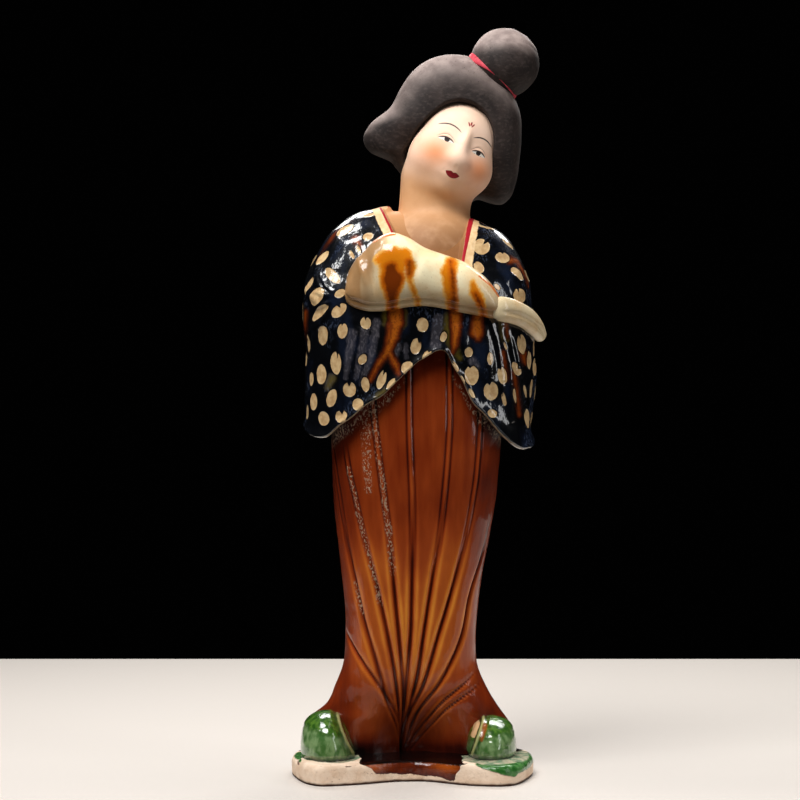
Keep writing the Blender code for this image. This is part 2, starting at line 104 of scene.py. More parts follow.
def round_turn(number, start=0.0):
    """Angles once round, evenly spaced."""
    return np.linspace(start, start + 2 * math.pi, number, endpoint=False)


def power(value, exponent):
    """Power of a number's size, with the sign kept."""
    return np.sign(value) * np.abs(value) ** exponent


def bell(distance, half_width):
    """Smooth bump: e to the minus (distance over half width) squared."""
    return np.exp(-(distance / half_width) ** 2)


def smooth(value, start, end):
    """Smooth step: 0 at start, 1 at end, 3tt - 2ttt between."""
    t = np.clip((value - start) / (end - start), 0, 1)
    return t * t * (3 - 2 * t)


def cloud(points, size, seed):
    """Random value from -1 to 1 in space, smooth over cells of that size in metres: the eight
    corners of a cell hold random numbers, which smooth steps blend."""
    table = np.random.default_rng(seed).uniform(-1, 1, 4096)
    place = points / size
    cell = np.floor(place).astype(np.int64)
    t = smooth(place - cell, 0, 1)
    total = np.zeros(points.shape[:-1])
    for corner in itertools.product((0, 1), repeat=3):
        at = (cell + corner) * (73856093, 19349663, 83492791)
        weight = np.prod(np.where(corner, t, 1 - t), axis=-1)
        total += weight * table[(at[..., 0] ^ at[..., 1] ^ at[..., 2]) & 4095]
    return total


def section(angle, left, right, front, back, fullness):
    """Superellipse about the middle of its four sides; angle 0 is the front, 90 degrees +X."""
    x = (left + right) / 2 + (right - left) / 2 * power(np.sin(angle), fullness)
    y = (front + back) / 2 + (front - back) / 2 * power(np.cos(angle), fullness)
    return x, y


# %% [markdown]
# ## From a grid of points to a closed piece
# Each form is a stack of rings. Quads join one ring to the next, and a fan closes each end, so
# nothing is left open. The sign of the volume tells whether the faces look outwards. Painted
# lines, spots and runs of glaze are stored on the points as distances to their edges, in
# millimetres: a distance changes evenly, so the shader can cut a crisp edge from a coarse grid.

# %% Closed forms
FAR = 99.0                   # parts, further from an edge than anything that is drawn


def closed_form(name, rings, material, fields=None, endless=False):
    """Piece from rings of points in metres, with number fields stored as attributes. An endless
    one comes back to its first ring and has no ends."""
    rows, columns = rings.shape[:2]
    corners = np.arange(rows * columns).reshape(rows, columns)
    beside = np.roll(corners, -1, axis=1)
    after, after_beside = np.roll(corners, -1, axis=0), np.roll(beside, -1, axis=0)
    last = rows if endless else rows - 1
    quads = np.stack((corners, beside, after_beside, after), axis=-1)[:last].reshape(-1, 4)
    start = np.full(columns, rows * columns)
    ends = np.vstack((np.stack((start, beside[0], corners[0]), axis=-1),
                      np.stack((start + 1, corners[-1], beside[-1]), axis=-1)))
    ends = ends[:0] if endless else ends
    tips = rings[[0, -1]].mean(axis=1)[:0 if endless else 2]
    points = np.vstack((rings.reshape(-1, 3), tips))
    a, b, c, d = (points[quads[:, k]] for k in range(4))
    volume = np.sum(a * np.cross(b, c)) + np.sum(a * np.cross(c, d))
    if volume < 0:
        quads, ends = quads[:, ::-1], ends[:, ::-1]
    mesh = bpy.data.meshes.new(name)
    mesh.from_pydata(points.tolist(), [], quads.tolist() + ends.tolist())
    mesh.shade_smooth()
    mesh.materials.append(material)
    for field, values in (fields or {}).items():
        values = np.broadcast_to(values, (rows, columns))
        flat = np.concatenate((values.ravel(), values[[0, -1]].mean(axis=1)))
        mesh.attributes.new(field, "FLOAT", "POINT").data.foreach_set("value", flat.astype(np.float32))
    piece = bpy.data.objects.new(name, mesh)
    bpy.context.collection.objects.link(piece)
    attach(piece, "root")
    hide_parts("court_lady")
    print(f"{name}: {len(quads) * 2 + len(ends)} triangles, {abs(volume) / 6 * 1e6:.0f} cm3")
    return piece


def unit(vectors):
    """Vectors of length one."""
    return vectors / (np.linalg.norm(vectors, axis=-1, keepdims=True) + 1e-9)


def along_grid(points, axis):
    """Unit directions along the rows or up the columns of a grid."""
    if axis == 1:
        return unit(np.roll(points, -1, axis=1) - np.roll(points, 1, axis=1))
    return unit(np.gradient(points, axis=0))


def grid_normal(points):
    """Unit normals of a grid: they look out where its rings run counterclockwise, going up."""
    return unit(np.cross(along_grid(points, 1), along_grid(points, 0)))


def with_first_row(fields, rows):
    """Fields with their first row repeated, for rings that come before it."""
    return {name: np.concatenate((np.repeat(values[:1], rows, axis=0), values))
            for name, values in fields.items()}


def stroke(x, height, marks):
    """Signed distance to brush strokes seen from the front, positive inside, in parts. A mark is
    a row of x, height and half width for each point that the stroke runs through."""
    field = np.full(np.shape(x), -FAR)
    for mark in marks:
        points = np.reshape(mark, (-1, 3))
        for (x0, height0, half0), (x1, height1, half1) in zip(points, points[1:]):
            run, climb = x1 - x0, height1 - height0
            share = ((x - x0) * run + (height - height0) * climb) / (run ** 2 + climb ** 2)
            along = np.clip(share, 0, 1)
            gap = np.hypot(x - x0 - along * run, height - height0 - along * climb)
            field = np.maximum(field, half0 + (half1 - half0) * along - gap)
    return field


# %% [markdown]
# ## Helpers for the finishes
# All finishes are node trees on Object coordinates, which are metres here because no piece is
# moved or scaled. `add` makes a node and sets or links its sockets by name. Colours are given
# as display values from 0 to 255, which is how one reads them off a picture, and turned linear.

# %% Node helpers
GLAZE_IOR = 1.7              # dense lead glaze bends light more than window glass
AMBER_IOR = 1.42             # the amber one is worn by fine crazing
COATED_SPECULAR = 0.1        # of the surface under a coat, and of a bare one
BARE_SPECULAR = 0.35
SKIN_SHADE_SPAN = (0.310, 0.352)   # from the chest's painted shade to the neck's colour, in metres above the table


def shade(red, green, blue):
    """Linear colour from display values: ((v + 0.055) / 1.055) to the power 2.4."""
    display = np.array((red, green, blue)) / 255
    linear = np.where(display < 0.04045, display / 12.92, ((display + 0.055) / 1.055) ** 2.4)
    return (*linear.tolist(), 1.0)


def add(tree, kind, inputs=None, **settings):
    """New node; inputs are numbers, colours or the sockets to link."""
    made = tree.nodes.new("ShaderNode" + kind)
    for key, value in settings.items():
        setattr(made, key, value)
    for key, value in (inputs or {}).items():
        if isinstance(value, bpy.types.NodeSocket):
            tree.links.new(value, made.inputs[key])
        else:
            made.inputs[key].default_value = value
    return made


def field(tree, name):
    """A stored number field of the piece."""
    return add(tree, "Attribute", attribute_name=name).outputs["Fac"]


def grain(tree, size, stretch=(1, 1, 1), detail=3.0, seed=0.0):
    """Noise from 0 to 1 with blotches of that size in metres, stretched along the axes."""
    place = add(tree, "TexCoord").outputs["Object"]
    scaled = add(tree, "Mapping", {"Vector": place, "Scale": [1 / (size * s) for s in stretch],
                                   "Location": (seed, seed, seed)}).outputs[0]
    return add(tree, "TexNoise", {"Vector": scaled, "Scale": 1.0, "Detail": detail}).outputs[0]


def step(tree, value, low, high):
    """Smooth step of a socket: 0 at low, 1 at high; low above high turns it round."""
    limits = {"Value": value, "From Min": min(low, high), "From Max": max(low, high),
              "To Min": float(low > high), "To Max": float(low < high)}
    return add(tree, "MapRange", limits, interpolation_type="SMOOTHSTEP").outputs[0]


def count(tree, operation, first, second, third=0.0):
    """Arithmetic on numbers or sockets."""
    return add(tree, "Math", {0: first, 1: second, 2: third}, operation=operation).outputs[0]


def wobbled(tree, value, size, reach, seed=0.0):
    """A distance made uneven by noise, by reach to each side."""
    return count(tree, "MULTIPLY_ADD", grain(tree, size, seed=seed), 2 * reach,
                 count(tree, "SUBTRACT", value, reach))


def layer(tree, factor, below, above):
    """Colour above laid over colour below by a factor."""
    return add(tree, "Mix", {0: factor, 6: below, 7: above}, data_type="RGBA").outputs[2]


def mottled(tree, value, low, high, first, second):
    """One display colour below low and another above high."""
    return layer(tree, step(tree, value, low, high), shade(*first), shade(*second))


def coats(tree, colour, *rows):
    """Coats laid over a colour: each is a factor, a display colour or a socket, and perhaps the
    share of the factor that counts."""
    for factor, above, *share in rows:
        if share:
            factor = count(tree, "MULTIPLY", factor, share[0])
        above = shade(*above) if isinstance(above, tuple) else above
        colour = layer(tree, factor, colour, above)
    return colour


def upright(tree):
    """Height above the table in metres."""
    place = add(tree, "TexCoord").outputs["Object"]
    return add(tree, "SeparateXYZ", {0: place}).outputs[2]


def shaded_skin(tree):
    """Painted skin below the chin, darker downwards: painted shade under the chin."""
    return mottled(tree, upright(tree), *SKIN_SHADE_SPAN, (132, 88, 52), (216, 162, 114))


def finish(name, roughness, coat=0.0, coat_roughness=0.03, coat_ior=GLAZE_IOR):
    """Material with one Principled surface: returns it, its tree and its shader."""
    material = bpy.data.materials.new(name)
    material.use_nodes = True
    shader = material.node_tree.nodes["Principled BSDF"]
    values = {"Roughness": roughness, "Coat Weight": coat, "Coat Roughness": coat_roughness,
              "Coat IOR": coat_ior, "Specular IOR Level": COATED_SPECULAR if coat else BARE_SPECULAR}
    for socket, value in values.items():
        shader.inputs[socket].default_value = value
    return material, material.node_tree, shader


def covered(tree, shader, colour, height, depth):
    """Shader with this colour, and bumps of that depth in metres for heights from 0 to 1, under
    the gloss as well."""
    bump = add(tree, "Bump", {"Height": height, "Distance": depth, "Strength": 1.0})
    for socket, source in (("Base Color", colour), ("Normal", bump.outputs[0]),
                           ("Coat Normal", bump.outputs[0])):
        tree.links.new(source, shader.inputs[socket])


# %% [markdown]
# ## The base
# The base is a low slab whose plan is a curve in polar form: how far it reaches in each
# direction, with a round lobe under each shoe and a shallow bay between. It is bare clay, and
# glaze ran over it: an amber tongue in front, green on the right lobe, and a rim at the skirt
# whose top is near black, pooled glaze with painted shadow under the skirt's edge.

# %% Base shape
BASE_PLAN = ((-180, 50), (-150, 54.3), (-125, 64.5), (-105, 71.5), (-88, 73), (-73, 73), (-63, 74.5),
             (-52.5, 75.7), (-46.5, 74), (-41, 64.6), (-34.6, 54.2), (-26.5, 43), (-18, 36.8),
             (-8, 33.8), (2, 33), (12, 34.3), (21, 39), (27.5, 47), (34.6, 58.4), (41.4, 67.8),
             (45, 72.8), (49.5, 75.5), (56, 75.8), (67, 73.7), (76, 73), (91, 73), (105, 71.5),
             (125, 64.5), (150, 54.3), (180, 50))    # degrees from the front, reach
BASE_EDGE_RADIUS = 0.004     # metres
BASE_COLUMNS = 420
CLAY_UNEVEN = 0.0006         # how far the clay's edge wanders, in metres


def base_rings():
    """Rings from the underside over the upright edge, its rounding and the flat top."""
    angle = round_turn(BASE_COLUMNS, -math.pi)
    reach = through(np.degrees(angle), BASE_PLAN) * PART
    profile = [(0.02, 0.0, 0.0), (0.8, 0.0, 0.0), (1.0, 0.0012, 0.0)]     # share, inset, level
    for rise in np.linspace(0.0006, BASE_THICKNESS - BASE_EDGE_RADIUS, 14):
        profile.append((1.0, 0.0004 * (1 - smooth(rise, 0, 0.003)), rise))
    for turn in np.linspace(0, math.pi / 2, 14)[1:]:
        profile.append((1.0, BASE_EDGE_RADIUS * (1 - math.cos(turn)),
                        BASE_THICKNESS - BASE_EDGE_RADIUS * (1 - math.sin(turn))))
    profile += [(share, BASE_EDGE_RADIUS, BASE_THICKNESS) for share in np.linspace(0.98, 0.02, 60)]
    share, inset, level = np.array(profile).T[:, :, None]
    wide, level = (reach - inset) * share, level + 0 * angle
    points = np.stack((wide * np.sin(angle), -wide * np.cos(angle), level), axis=-1)
    uneven = cloud(points, 0.011, 3) * CLAY_UNEVEN + cloud(points, 0.004, 4) * CLAY_UNEVEN * 0.3
    free = smooth(level, 0, 0.002)
    wide = wide - np.abs(uneven) * (0.4 + 0.6 * free) * (share > 0.9)
    sag = uneven * free * smooth(level, 0.008, BASE_THICKNESS) * 0.8
    return np.stack((wide * np.sin(angle), -wide * np.cos(angle), level + sag), axis=-1)


# %% [markdown]
# ## Skirt
# The skirt is a superellipse at each height, whose four sides are curves through a few keys.
# It hangs nearly straight, draws in at the knees and spreads over the shoes, and between the
# shoes it falls back. The pleats run from the bodice to one point between the shoes. High up
# each is a narrow welt with a groove on each side, and low down it is one broad groove between
# rounded ridges. Each pleat's route is a short list of (height, x) as seen from the front, and
# the distance to it is measured along the cloth, so a pleat keeps its width round the side.

# %% Skirt shape
SKIRT_LEFT = ((0, -66), (10, -66), (20, -62.5), (27, -53.5), (41, -46), (53, -41.5), (68, -40),
              (93, -40.7), (122, -43.7), (151, -47.3), (180, -48.5), (245, -51))
SKIRT_RIGHT = ((0, 62), (10, 62), (17, 59), (24, 54), (41, 43.5), (53, 38.8), (68, 38),
               (93, 39.5), (122, 44.3), (151, 49.7), (180, 52.7), (245, 55))
SKIRT_FRONT = ((0, -9), (20, -11), (48, -18), (78, -25), (108, -31), (148, -37), (188, -41),
               (245, -43))
SKIRT_BACK = ((0, 45), (20, 42), (48, 37), (78, 34), (108, 32), (148, 30), (245, 31))
SKIRT_FULLNESS = 0.86
HOLLOW_DEPTH = 19.0
HOLLOW_HALF_WIDTH = 22.0
HOLLOW_HEIGHT = 30.0
SEAT_DEPTH = 2.0
SKIRT_CROWDING = 0.4         # columns stand closer in front, by this share
SKIRT_COLUMNS = 470
SKIRT_ROWS = 205
SKIRT_TOP = 252.0
PLEAT_ROUTES = (((0, -6), (20, -8), (42, -20), (55, -29), (68, -37), (95, -42)),
                ((0, -6), (17, -9.5), (29, -14), (57, -22), (79, -28.5), (107, -34.5), (146, -42),
                 (190, -48)),
                ((0, -6), (26, -7.8), (45, -10), (73, -15), (103, -21.5), (142, -31), (182, -39.5),
                 (230, -43)),
                ((0, -6), (41, -5.6), (73, -8.3), (98, -10.7), (132, -13.8), (176, -19.5), (206, -23),
                 (250, -25)),
                ((0, -6), (38, -4), (57, -2.6), (73, -1.2), (98, -0.5), (157, -0.3), (186, -1.5),
                 (250, -2.5)),
                ((0, -6), (17, -4), (51, 3.4), (71, 6.3), (108, 12), (132, 16), (157, 18.8),
                 (191, 21.5), (250, 21.5)),
                ((0, -6), (22, -2.6), (43, 6.5), (71, 15), (98, 23), (137, 32.5), (162, 37),
                 (200, 40), (250, 41)),
                ((0, -5), (26, 3.4), (46, 17.5), (70, 29), (97, 34.5), (126, 43), (160, 48)),
                ((0, -4), (18, 6.8), (35, 21), (43, 31), (50, 38)),
                ((0, -2), (18, 12), (29, 22), (37, 33), (43, 42)))
PLEAT_TOPS = (78, 195, 190, 250, 250, 250, 250, 150, 52, 46)   # heights where they fade out
PLEAT_DEPTHS = (0.8, 0.8, 0.9, 1, 1, 1, 1, 0.9, 0.8, 0.7)
CRUSTED = {1: (76, 116), 2: (82, 184), 3: (100, 260)}   # blistered glaze: pleat, lowest, highest
BACK_PLEATS = (-150, -118, 118, 150, 180)      # degrees round the skirt, straight and plainer
WELT = 0.55                  # height of a welt, and of the groove on each side
WELT_GROOVE = 0.5
WELT_REACH = 1.8             # from the welt to its grooves
GROOVE = 1.75                # depth of a pleat low down
RIDGE = 0.525                # how far the cloth swells between pleats low down
FOOT_TUCK = 0.4              # how far it draws in at the very foot


def skirt_surface():
    """Rows of x and y round the skirt, before the pleats are pressed in, with their heights."""
    turn = round_turn(SKIRT_COLUMNS, -math.pi)
    angle = turn - SKIRT_CROWDING * np.sin(turn)
    height = np.linspace(-SEAT_DEPTH, SKIRT_TOP, SKIRT_ROWS)[:, None]
    x, y = section(angle, through(height, SKIRT_LEFT), through(height, SKIRT_RIGHT),
                   through(height, SKIRT_FRONT), through(height, SKIRT_BACK), SKIRT_FULLNESS)
    facing = np.clip(np.cos(angle), 0, 1)
    y = y + HOLLOW_DEPTH * bell(x, HOLLOW_HALF_WIDTH) * bell(height, HOLLOW_HEIGHT) * facing
    return angle, height + 0 * angle, x, y


def run_length(x, y):
    """Length along each row, 0 at the front."""
    steps = np.hypot(np.diff(x, axis=1), np.diff(y, axis=1))
    length = np.concatenate((np.zeros((len(x), 1)), np.cumsum(steps, axis=1)), axis=1)
    return length - length[:, [x.shape[1] // 2]]


def outward(x, y):
    """Directions that look out of each row, in the plan."""
    ahead_x, ahead_y = (np.roll(v, -1, axis=1) - np.roll(v, 1, axis=1) for v in (x, y))
    size = np.hypot(ahead_x, ahead_y) + 1e-9
    return ahead_y / size, -ahead_x / size


def skirt_pleats(angle, height, x, y):
    """Relief of the pleats, how much is groove, how much ridge, and the distance to the crusts."""
    length = run_length(x, y)
    front = np.abs(angle) < math.pi / 2
    low = 1 - smooth(height, 95, 165)
    press, pool, gold = np.zeros_like(x), np.zeros_like(x), np.zeros_like(x)
    crust = np.full_like(x, FAR)
    places = []
    for route, top, depth in zip(PLEAT_ROUTES, PLEAT_TOPS, PLEAT_DEPTHS):
        at = through(height[:, 0], route)
        middle = np.array([np.interp(a, row[front], along[front])
                           for a, row, along in zip(at, x, length)])
        places.append((middle[:, None], top, depth))
    for degrees in BACK_PLEATS:
        nearest = np.argmin(np.abs(np.degrees(angle) - (degrees if degrees < 180 else -180)))
        places.append((length[:, [nearest]], 250, 0.7))
    for number, (middle, top, depth) in enumerate(places):
        aside = length - middle
        fade = depth * (1 - smooth(height, top - 14, top)) * (0.35 + 0.65 * smooth(height, 4, 30))
        narrow = 0.55 + 0.45 * smooth(height, 15, 60)
        sides = bell(aside - WELT_REACH, 0.6) + bell(aside + WELT_REACH, 0.6)
        welt = WELT * bell(aside, 1.0) - WELT_GROOVE * sides
        groove = bell(aside, 1.4 * narrow)
        press += fade * ((1 - low) * welt - low * (GROOVE * groove + 0.5 * bell(aside, 4 * narrow)))
        lines = low * bell(aside, 0.95 * narrow) + (1 - low) * (0.55 * sides - 0.25 * bell(aside, 0.9))
        pool = np.where(np.abs(fade * lines) > np.abs(pool), fade * lines, pool)
        gold = np.maximum(gold, fade * low * bell(np.abs(aside) - 3.0 * narrow, 1.3 * narrow))
        if number in CRUSTED:
            low_end, high_end = CRUSTED[number]
            ends = smooth(height, low_end, low_end + 12) * (1 - smooth(height, high_end - 12, high_end))
            crust = np.minimum(crust, np.abs(aside) + 9 * (1 - ends))
    press += RIDGE * low * (1 - np.clip(pool, 0, 1)) * smooth(height, 8, 40)
    return press, pool, gold, crust


def skirt_rings():
    """The skirt's points, and its fields."""
    angle, height, x, y = skirt_surface()
    press, pool, gold, crust = skirt_pleats(angle, height, x, y)
    out_x, out_y = outward(x, y)
    points = placed(x, y, height)
    press += 0.25 * cloud(points, 0.014, 11) + 0.1 * cloud(points, 0.005, 12)
    press -= FOOT_TUCK * (1 - smooth(height, 0, 6))
    fields = dict(pool=pool, gold=gold, crust=crust, height=height)
    return placed(x + press * out_x, y + press * out_y, height), fields


# %% [markdown]
# ## Robe
# The robe is one shell from the hem to the neck. Each ring is a superellipse, and above the
# shoulder line the rings turn inwards along a quarter circle. The hem climbs to a peak in front.
# Folds are bells across short lines, and the hem curls out a little, so that its edge catches
# light. The underside closes the shell a little inside the skirt.

# %% Robe shape
ROBE_HEM = ((-180, 208), (-150, 205), (-120, 201), (-95, 198.5), (-84, 196.5), (-71, 193),
            (-59, 190.8), (-48, 192), (-39, 198), (-32, 202), (-22, 210.4), (-14, 215.8),
            (-8, 223.8), (-3, 231.3), (1, 238), (5, 241.8), (8, 241), (11, 233), (16, 223.8),
            (21, 213.3), (30, 204), (40, 193.4), (46, 189.2), (57, 184.4), (69, 184.2),
            (80, 185), (90, 188), (110, 197), (145, 204), (180, 208))
SHOULDER_HEIGHT = 288.0
SHOULDER_TOP = 330.0
HEM_LIFT = 0.9               # the lowest ring lies this much over the hem's curve
CROWN_DROP = 0.3             # and the highest this much under the shoulder's top
ROBE_LEFT = ((180, -64), (201, -64), (237, -63.5), (266, -66), (278, -65.5), (288, -63.4),
             (297, -57.5), (303, -52.7), (308.4, -46.7), (315.5, -37), (322.6, -26), (330, -11))
ROBE_RIGHT = ((180, 72.5), (201, 71.4), (237, 73.8), (266, 72.6), (278, 71.5), (288, 69),
              (297, 63.5), (303, 58), (308.4, 48.5), (315.5, 31.6), (322.6, 14), (330, -11))
ROBE_FRONT = ((180, -46), (201, -47), (237, -49), (266, -51), (278, -50), (288, -46),
              (297, -40), (303, -35), (308.4, -28), (315.5, -19), (322.6, -9), (330, 3))
ROBE_BACK = ((180, 43), (201, 42), (237, 40), (266, 41), (288, 40), (297, 38), (303, 35),
             (308.4, 31), (315.5, 24), (322.6, 16), (330, 3))
ROBE_FULLNESS = 0.80
ROBE_RADIUS = 60.0
ROBE_FOLDS = (((-34, 258), (-40, 205), 4.0, 1.6), ((-24, 256), (-31, 222), 3.5, 1.4),
              ((-13, 258), (-16, 232), 3.5, 1.2), ((14, 258), (16, 240), 4.0, 1.1),
              ((27, 258), (31, 222), 4.0, 1.4), ((38, 256), (52, 200), 4.5, 1.9),
              ((50, 252), (66, 205), 4.5, 1.6), ((-46, 268), (-80, 282), 3.5, 1.6),
              ((-46, 262), (-74, 250), 3.5, 1.5), ((-47, 272), (-70, 300), 3.5, 1.3),
              ((84, 236), (92, 200), 6.0, 1.5), ((-84, 240), (-92, 205), 6.0, 1.5),
              ((140, 285), (112, 215), 7.0, 1.8), ((-140, 285), (-112, 215), 7.0, 1.8),
              ((170, 300), (165, 225), 8.0, 1.4), ((-170, 300), (-165, 225), 8.0, 1.4))
FINE_FOLDS = (((-29, 262), (-36, 214), 1.5, 0.7), ((-22, 262), (-27, 220), 1.5, 0.7),
              ((-17, 262), (-21, 226), 1.4, 0.6), ((-8, 260), (-10, 238), 1.6, 0.6),
              ((20, 260), (25, 232), 1.5, 0.6), ((32, 260), (42, 212), 1.6, 0.7),
              ((46, 255), (60, 205), 1.6, 0.7), ((60, 250), (74, 200), 1.8, 0.6),
              ((-42, 276), (-58, 290), 1.4, 0.9), ((-42, 274), (-62, 278), 1.3, 0.8),
              ((-42, 271), (-60, 266), 1.4, 0.8), ((-43, 268), (-56, 254), 1.5, 0.7),
              ((46, 283), (66, 290), 3.0, 0.9), ((48, 277), (70, 278), 2.5, 0.7))
ROBE_CROWDING = 0.25
ROBE_COLUMNS = 470
ROBE_ROWS = 196
HEM_CURL = 2.6               # how far the lower edge curls out
HEM_BAND = 9.0               # height of the band that curls
HEM_INSIDE = (  # rings under the hem: height over the hem, inset
    (12.0, 22.0), (7.4, 12.0), (2.6, 4.2), (0.9, 2.2), (0.15, 1.0), (0.2, 0.1))


def fold_relief(angle, height, folds):
    """Soft folds: a bell across the line from start to end, faded at both ends."""
    press = np.zeros(np.broadcast(angle, height).shape)
    reach = math.radians(1) * ROBE_RADIUS
    for start, end, half_width, rise in folds:
        across = (np.degrees(angle) - start[0]) * reach
        up = height - start[1]
        run, climb = (end[0] - start[0]) * reach, end[1] - start[1]
        size = math.hypot(run, climb)
        along = (across * run + up * climb) / size ** 2
        aside = (across * climb - up * run) / size
        fade = np.clip(1 - (2 * along - 1) ** 2, 0, 1)
        press += rise * bell(aside, half_width) * np.sqrt(fade)
    return press


def robe_point(angle, station, inset=0.0):
    """Point of the robe, in parts. Stations are heights, and turn over the shoulder above 288."""
    turn = np.clip((station - SHOULDER_HEIGHT) / (SHOULDER_TOP - SHOULDER_HEIGHT), 0, 1)
    height = np.where(station > SHOULDER_HEIGHT,
                      SHOULDER_HEIGHT + (SHOULDER_TOP - SHOULDER_HEIGHT) * np.sin(turn * math.pi / 2),
                      station)
    x, y = section(angle, through(station, ROBE_LEFT), through(station, ROBE_RIGHT),
                   through(station, ROBE_FRONT), through(station, ROBE_BACK), ROBE_FULLNESS)
    press = fold_relief(angle, height, ROBE_FOLDS + FINE_FOLDS) - inset
    return x + press * np.sin(angle), y - press * np.cos(angle), height


# %% [markdown]
# ### Neckline and spots
# The robe opens in a V over the chest and runs round the nape. Inside the line the robe sinks
# under the painted chest. Outside it lie a thin red line and a band left cream. The spots are
# bare patches where a resist kept the glaze off. Those in front are listed one by one, and those
# round the back follow a staggered lattice with some jitter. Glaze crept into many from above,
# so a wedge is cut out of their upper edge.

# %% Robe fields
NECK_LEFT = ((284, 2), (300, -5), (312, -11), (324, -16.3), (332, -20))     # height, x
NECK_RIGHT = ((284, 27.5), (296, 28.8), (306, 30.5), (319, 33), (332, 38))
NECK_MIDDLE = (13.0, 2.0)
NECK_RING = 27.0
NECK_START = 284.0           # below it the robe is closed
NECK_DEPTH = 3.0             # how far the robe sinks under the painted chest
SPOT_DEPTH = 0.12            # the glaze round a spot is this thick
SIDE_FADE = (0.4, 20)        # runs seen from the front fade behind y = -20, by this slope
FRONT_SPOTS = (  # x, height, half width, half height, tilt in degrees
    (-61.8, 247.1, 2.2, 5.7, 21), (-54, 228.6, 4.3, 5.9, 4), (-44.7, 235, 4.2, 6.7, -2),
    (-60.3, 225.8, 3.2, 4.2, 18), (-59, 212.1, 4, 5.1, 0), (-47.4, 214.5, 3.7, 5.6, 28),
    (-36.7, 219.7, 3.9, 4.4, 4), (-27.6, 222.6, 2.4, 4.3, -8), (-29.1, 237.2, 2.3, 3.2, 25),
    (-18, 224.9, 2.5, 5.7, 19), (-31.7, 211, 3.6, 3.5, -8), (-41.7, 203.6, 4, 3.6, -5),
    (-52.8, 202.1, 4.6, 4.2, 20), (-62.9, 206.1, 2.8, 4.5, 13), (-12.4, 223.2, 1.7, 3.8, 38),
    (-3.4, 231.9, 3.6, 4, 42), (8.2, 239.2, 2.2, 3.8, 35), (1.4, 244.7, 3.1, 4.7, 8),
    (23.3, 233.1, 1.7, 3.9, -38), (27.4, 224.4, 0.8, 2.6, -29), (34.5, 217.1, 1.4, 3.2, -33),
    (34.5, 227.6, 4.3, 5.7, -2), (32.7, 241, 2.5, 2.9, -3), (45, 237.5, 1.9, 3.7, -2),
    (52.5, 227.9, 2.9, 5.4, -15), (60.3, 231.8, 4.8, 2.9, 43), (45.7, 218.6, 4.6, 5.4, -7),
    (53.5, 213.9, 1.3, 4.1, -19), (60.4, 215.4, 1.5, 4.7, -23), (46.6, 205.4, 3.4, 2.5, 9),
    (68.1, 202, 3.3, 6.1, -23), (64.3, 246.2, 4.3, 5.9, -10), (69.1, 237.2, 3.3, 5.7, -4),
    (67, 218.3, 1.2, 4.4, -31), (70.6, 220.4, 2.2, 5.6, -5), (72.4, 243.6, 1.6, 4.8, 8),
    (54.2, 244.9, 0.8, 2.5, -25), (-27.8, 324.3, 5.7, 3, 8), (-40.2, 314.8, 4, 5.7, 34),
    (-26.3, 309.8, 3.2, 3.5, -20), (-54, 298.4, 3.8, 5.4, 35), (-47.4, 286.7, 7.8, 2.9, 38),
    (-35.7, 299, 1.1, 3.9, -35), (-31.9, 301.4, 1.1, 3.5, -33), (-61.7, 281.4, 2.5, 6.2, 35),
    (-56.9, 274.2, 6.7, 4.8, -27), (-42.5, 275.8, 3.7, 2.5, -24), (-55.1, 264.7, 7.9, 2.7, -32),
    (-43.4, 265.9, 5.6, 3.4, -34), (-53, 251.5, 3.8, 5.8, 17), (-41.1, 253.6, 3.4, 4.5, 13),
    (-27.3, 258.1, 3.1, 3.6, -8), (5.6, 256.9, 3.5, 4.2, 0), (17.8, 249.9, 1.9, 3.1, 17),
    (40.7, 303.9, 5, 6.1, 44), (53.5, 297.9, 5.7, 3.5, -8), (56.7, 307.3, 2.7, 5.7, -44),
    (61.9, 288, 5.3, 3.4, 35), (63.4, 275.1, 6, 4.3, 0), (38.7, 291.4, 3, 3.9, -17),
    (49.5, 279.4, 1.5, 2.3, -39), (43.7, 316.6, 6.5, 2.2, 31))
FRONT_REACH = 100            # degrees to each side where listed spots may lie
SPOT_ROWS = 8
SPOT_RISE = (0.06, 0.82)     # where the lattice begins, and its span, as shares of the rows
SPOT_PITCH = 17.0            # along the robe, at the back
SPOT_RADIUS = 55.0           # of the robe there
SPOT_SPAN = (82.0, 278.0)    # degrees that the lattice covers, round the back
SPOT_GAP = 11.0              # least distance of two spots' middles


def spot_field(points, normals, spots, seed):
    """Signed distance to ovals on the surface, in parts, positive inside. A spot is measured along
    the level and the rising tangent at its middle, so it isn't stretched where the robe turns."""
    random = np.random.default_rng(seed)
    inside = np.full(points.shape[:2], -FAR)
    for row, column, half_width, half_height, tilt in spots:
        gap = points - points[row, column]
        normal = normals[row, column]
        aside = np.array((-normal[1], normal[0], 0.0)) / math.hypot(normal[0], normal[1])
        up = np.cross(normal, aside)
        lean = math.radians(tilt)
        u = gap @ (aside * math.cos(lean) - up * math.sin(lean))
        v = gap @ (aside * math.sin(lean) + up * math.cos(lean))
        edge = np.sqrt((u / half_width) ** 2 + (v / half_height) ** 2) - 1
        shape = -edge * min(half_width, half_height)
        shift = random.uniform(-0.45, 0.45)
        depth = random.uniform(-0.6, 0.9)
        width = random.uniform(0.18, 0.5)
        notch = width * half_width * (v / half_height - 1 + depth) / max(depth, 0.1)
        wedge = np.abs(u - shift * half_width) - notch if depth > 0.2 else shape
        near = np.linalg.norm(gap, axis=-1) < 2.5 * max(half_width, half_height)
        inside = np.where(near, np.maximum(inside, np.minimum(shape, wedge)), inside)
    return inside


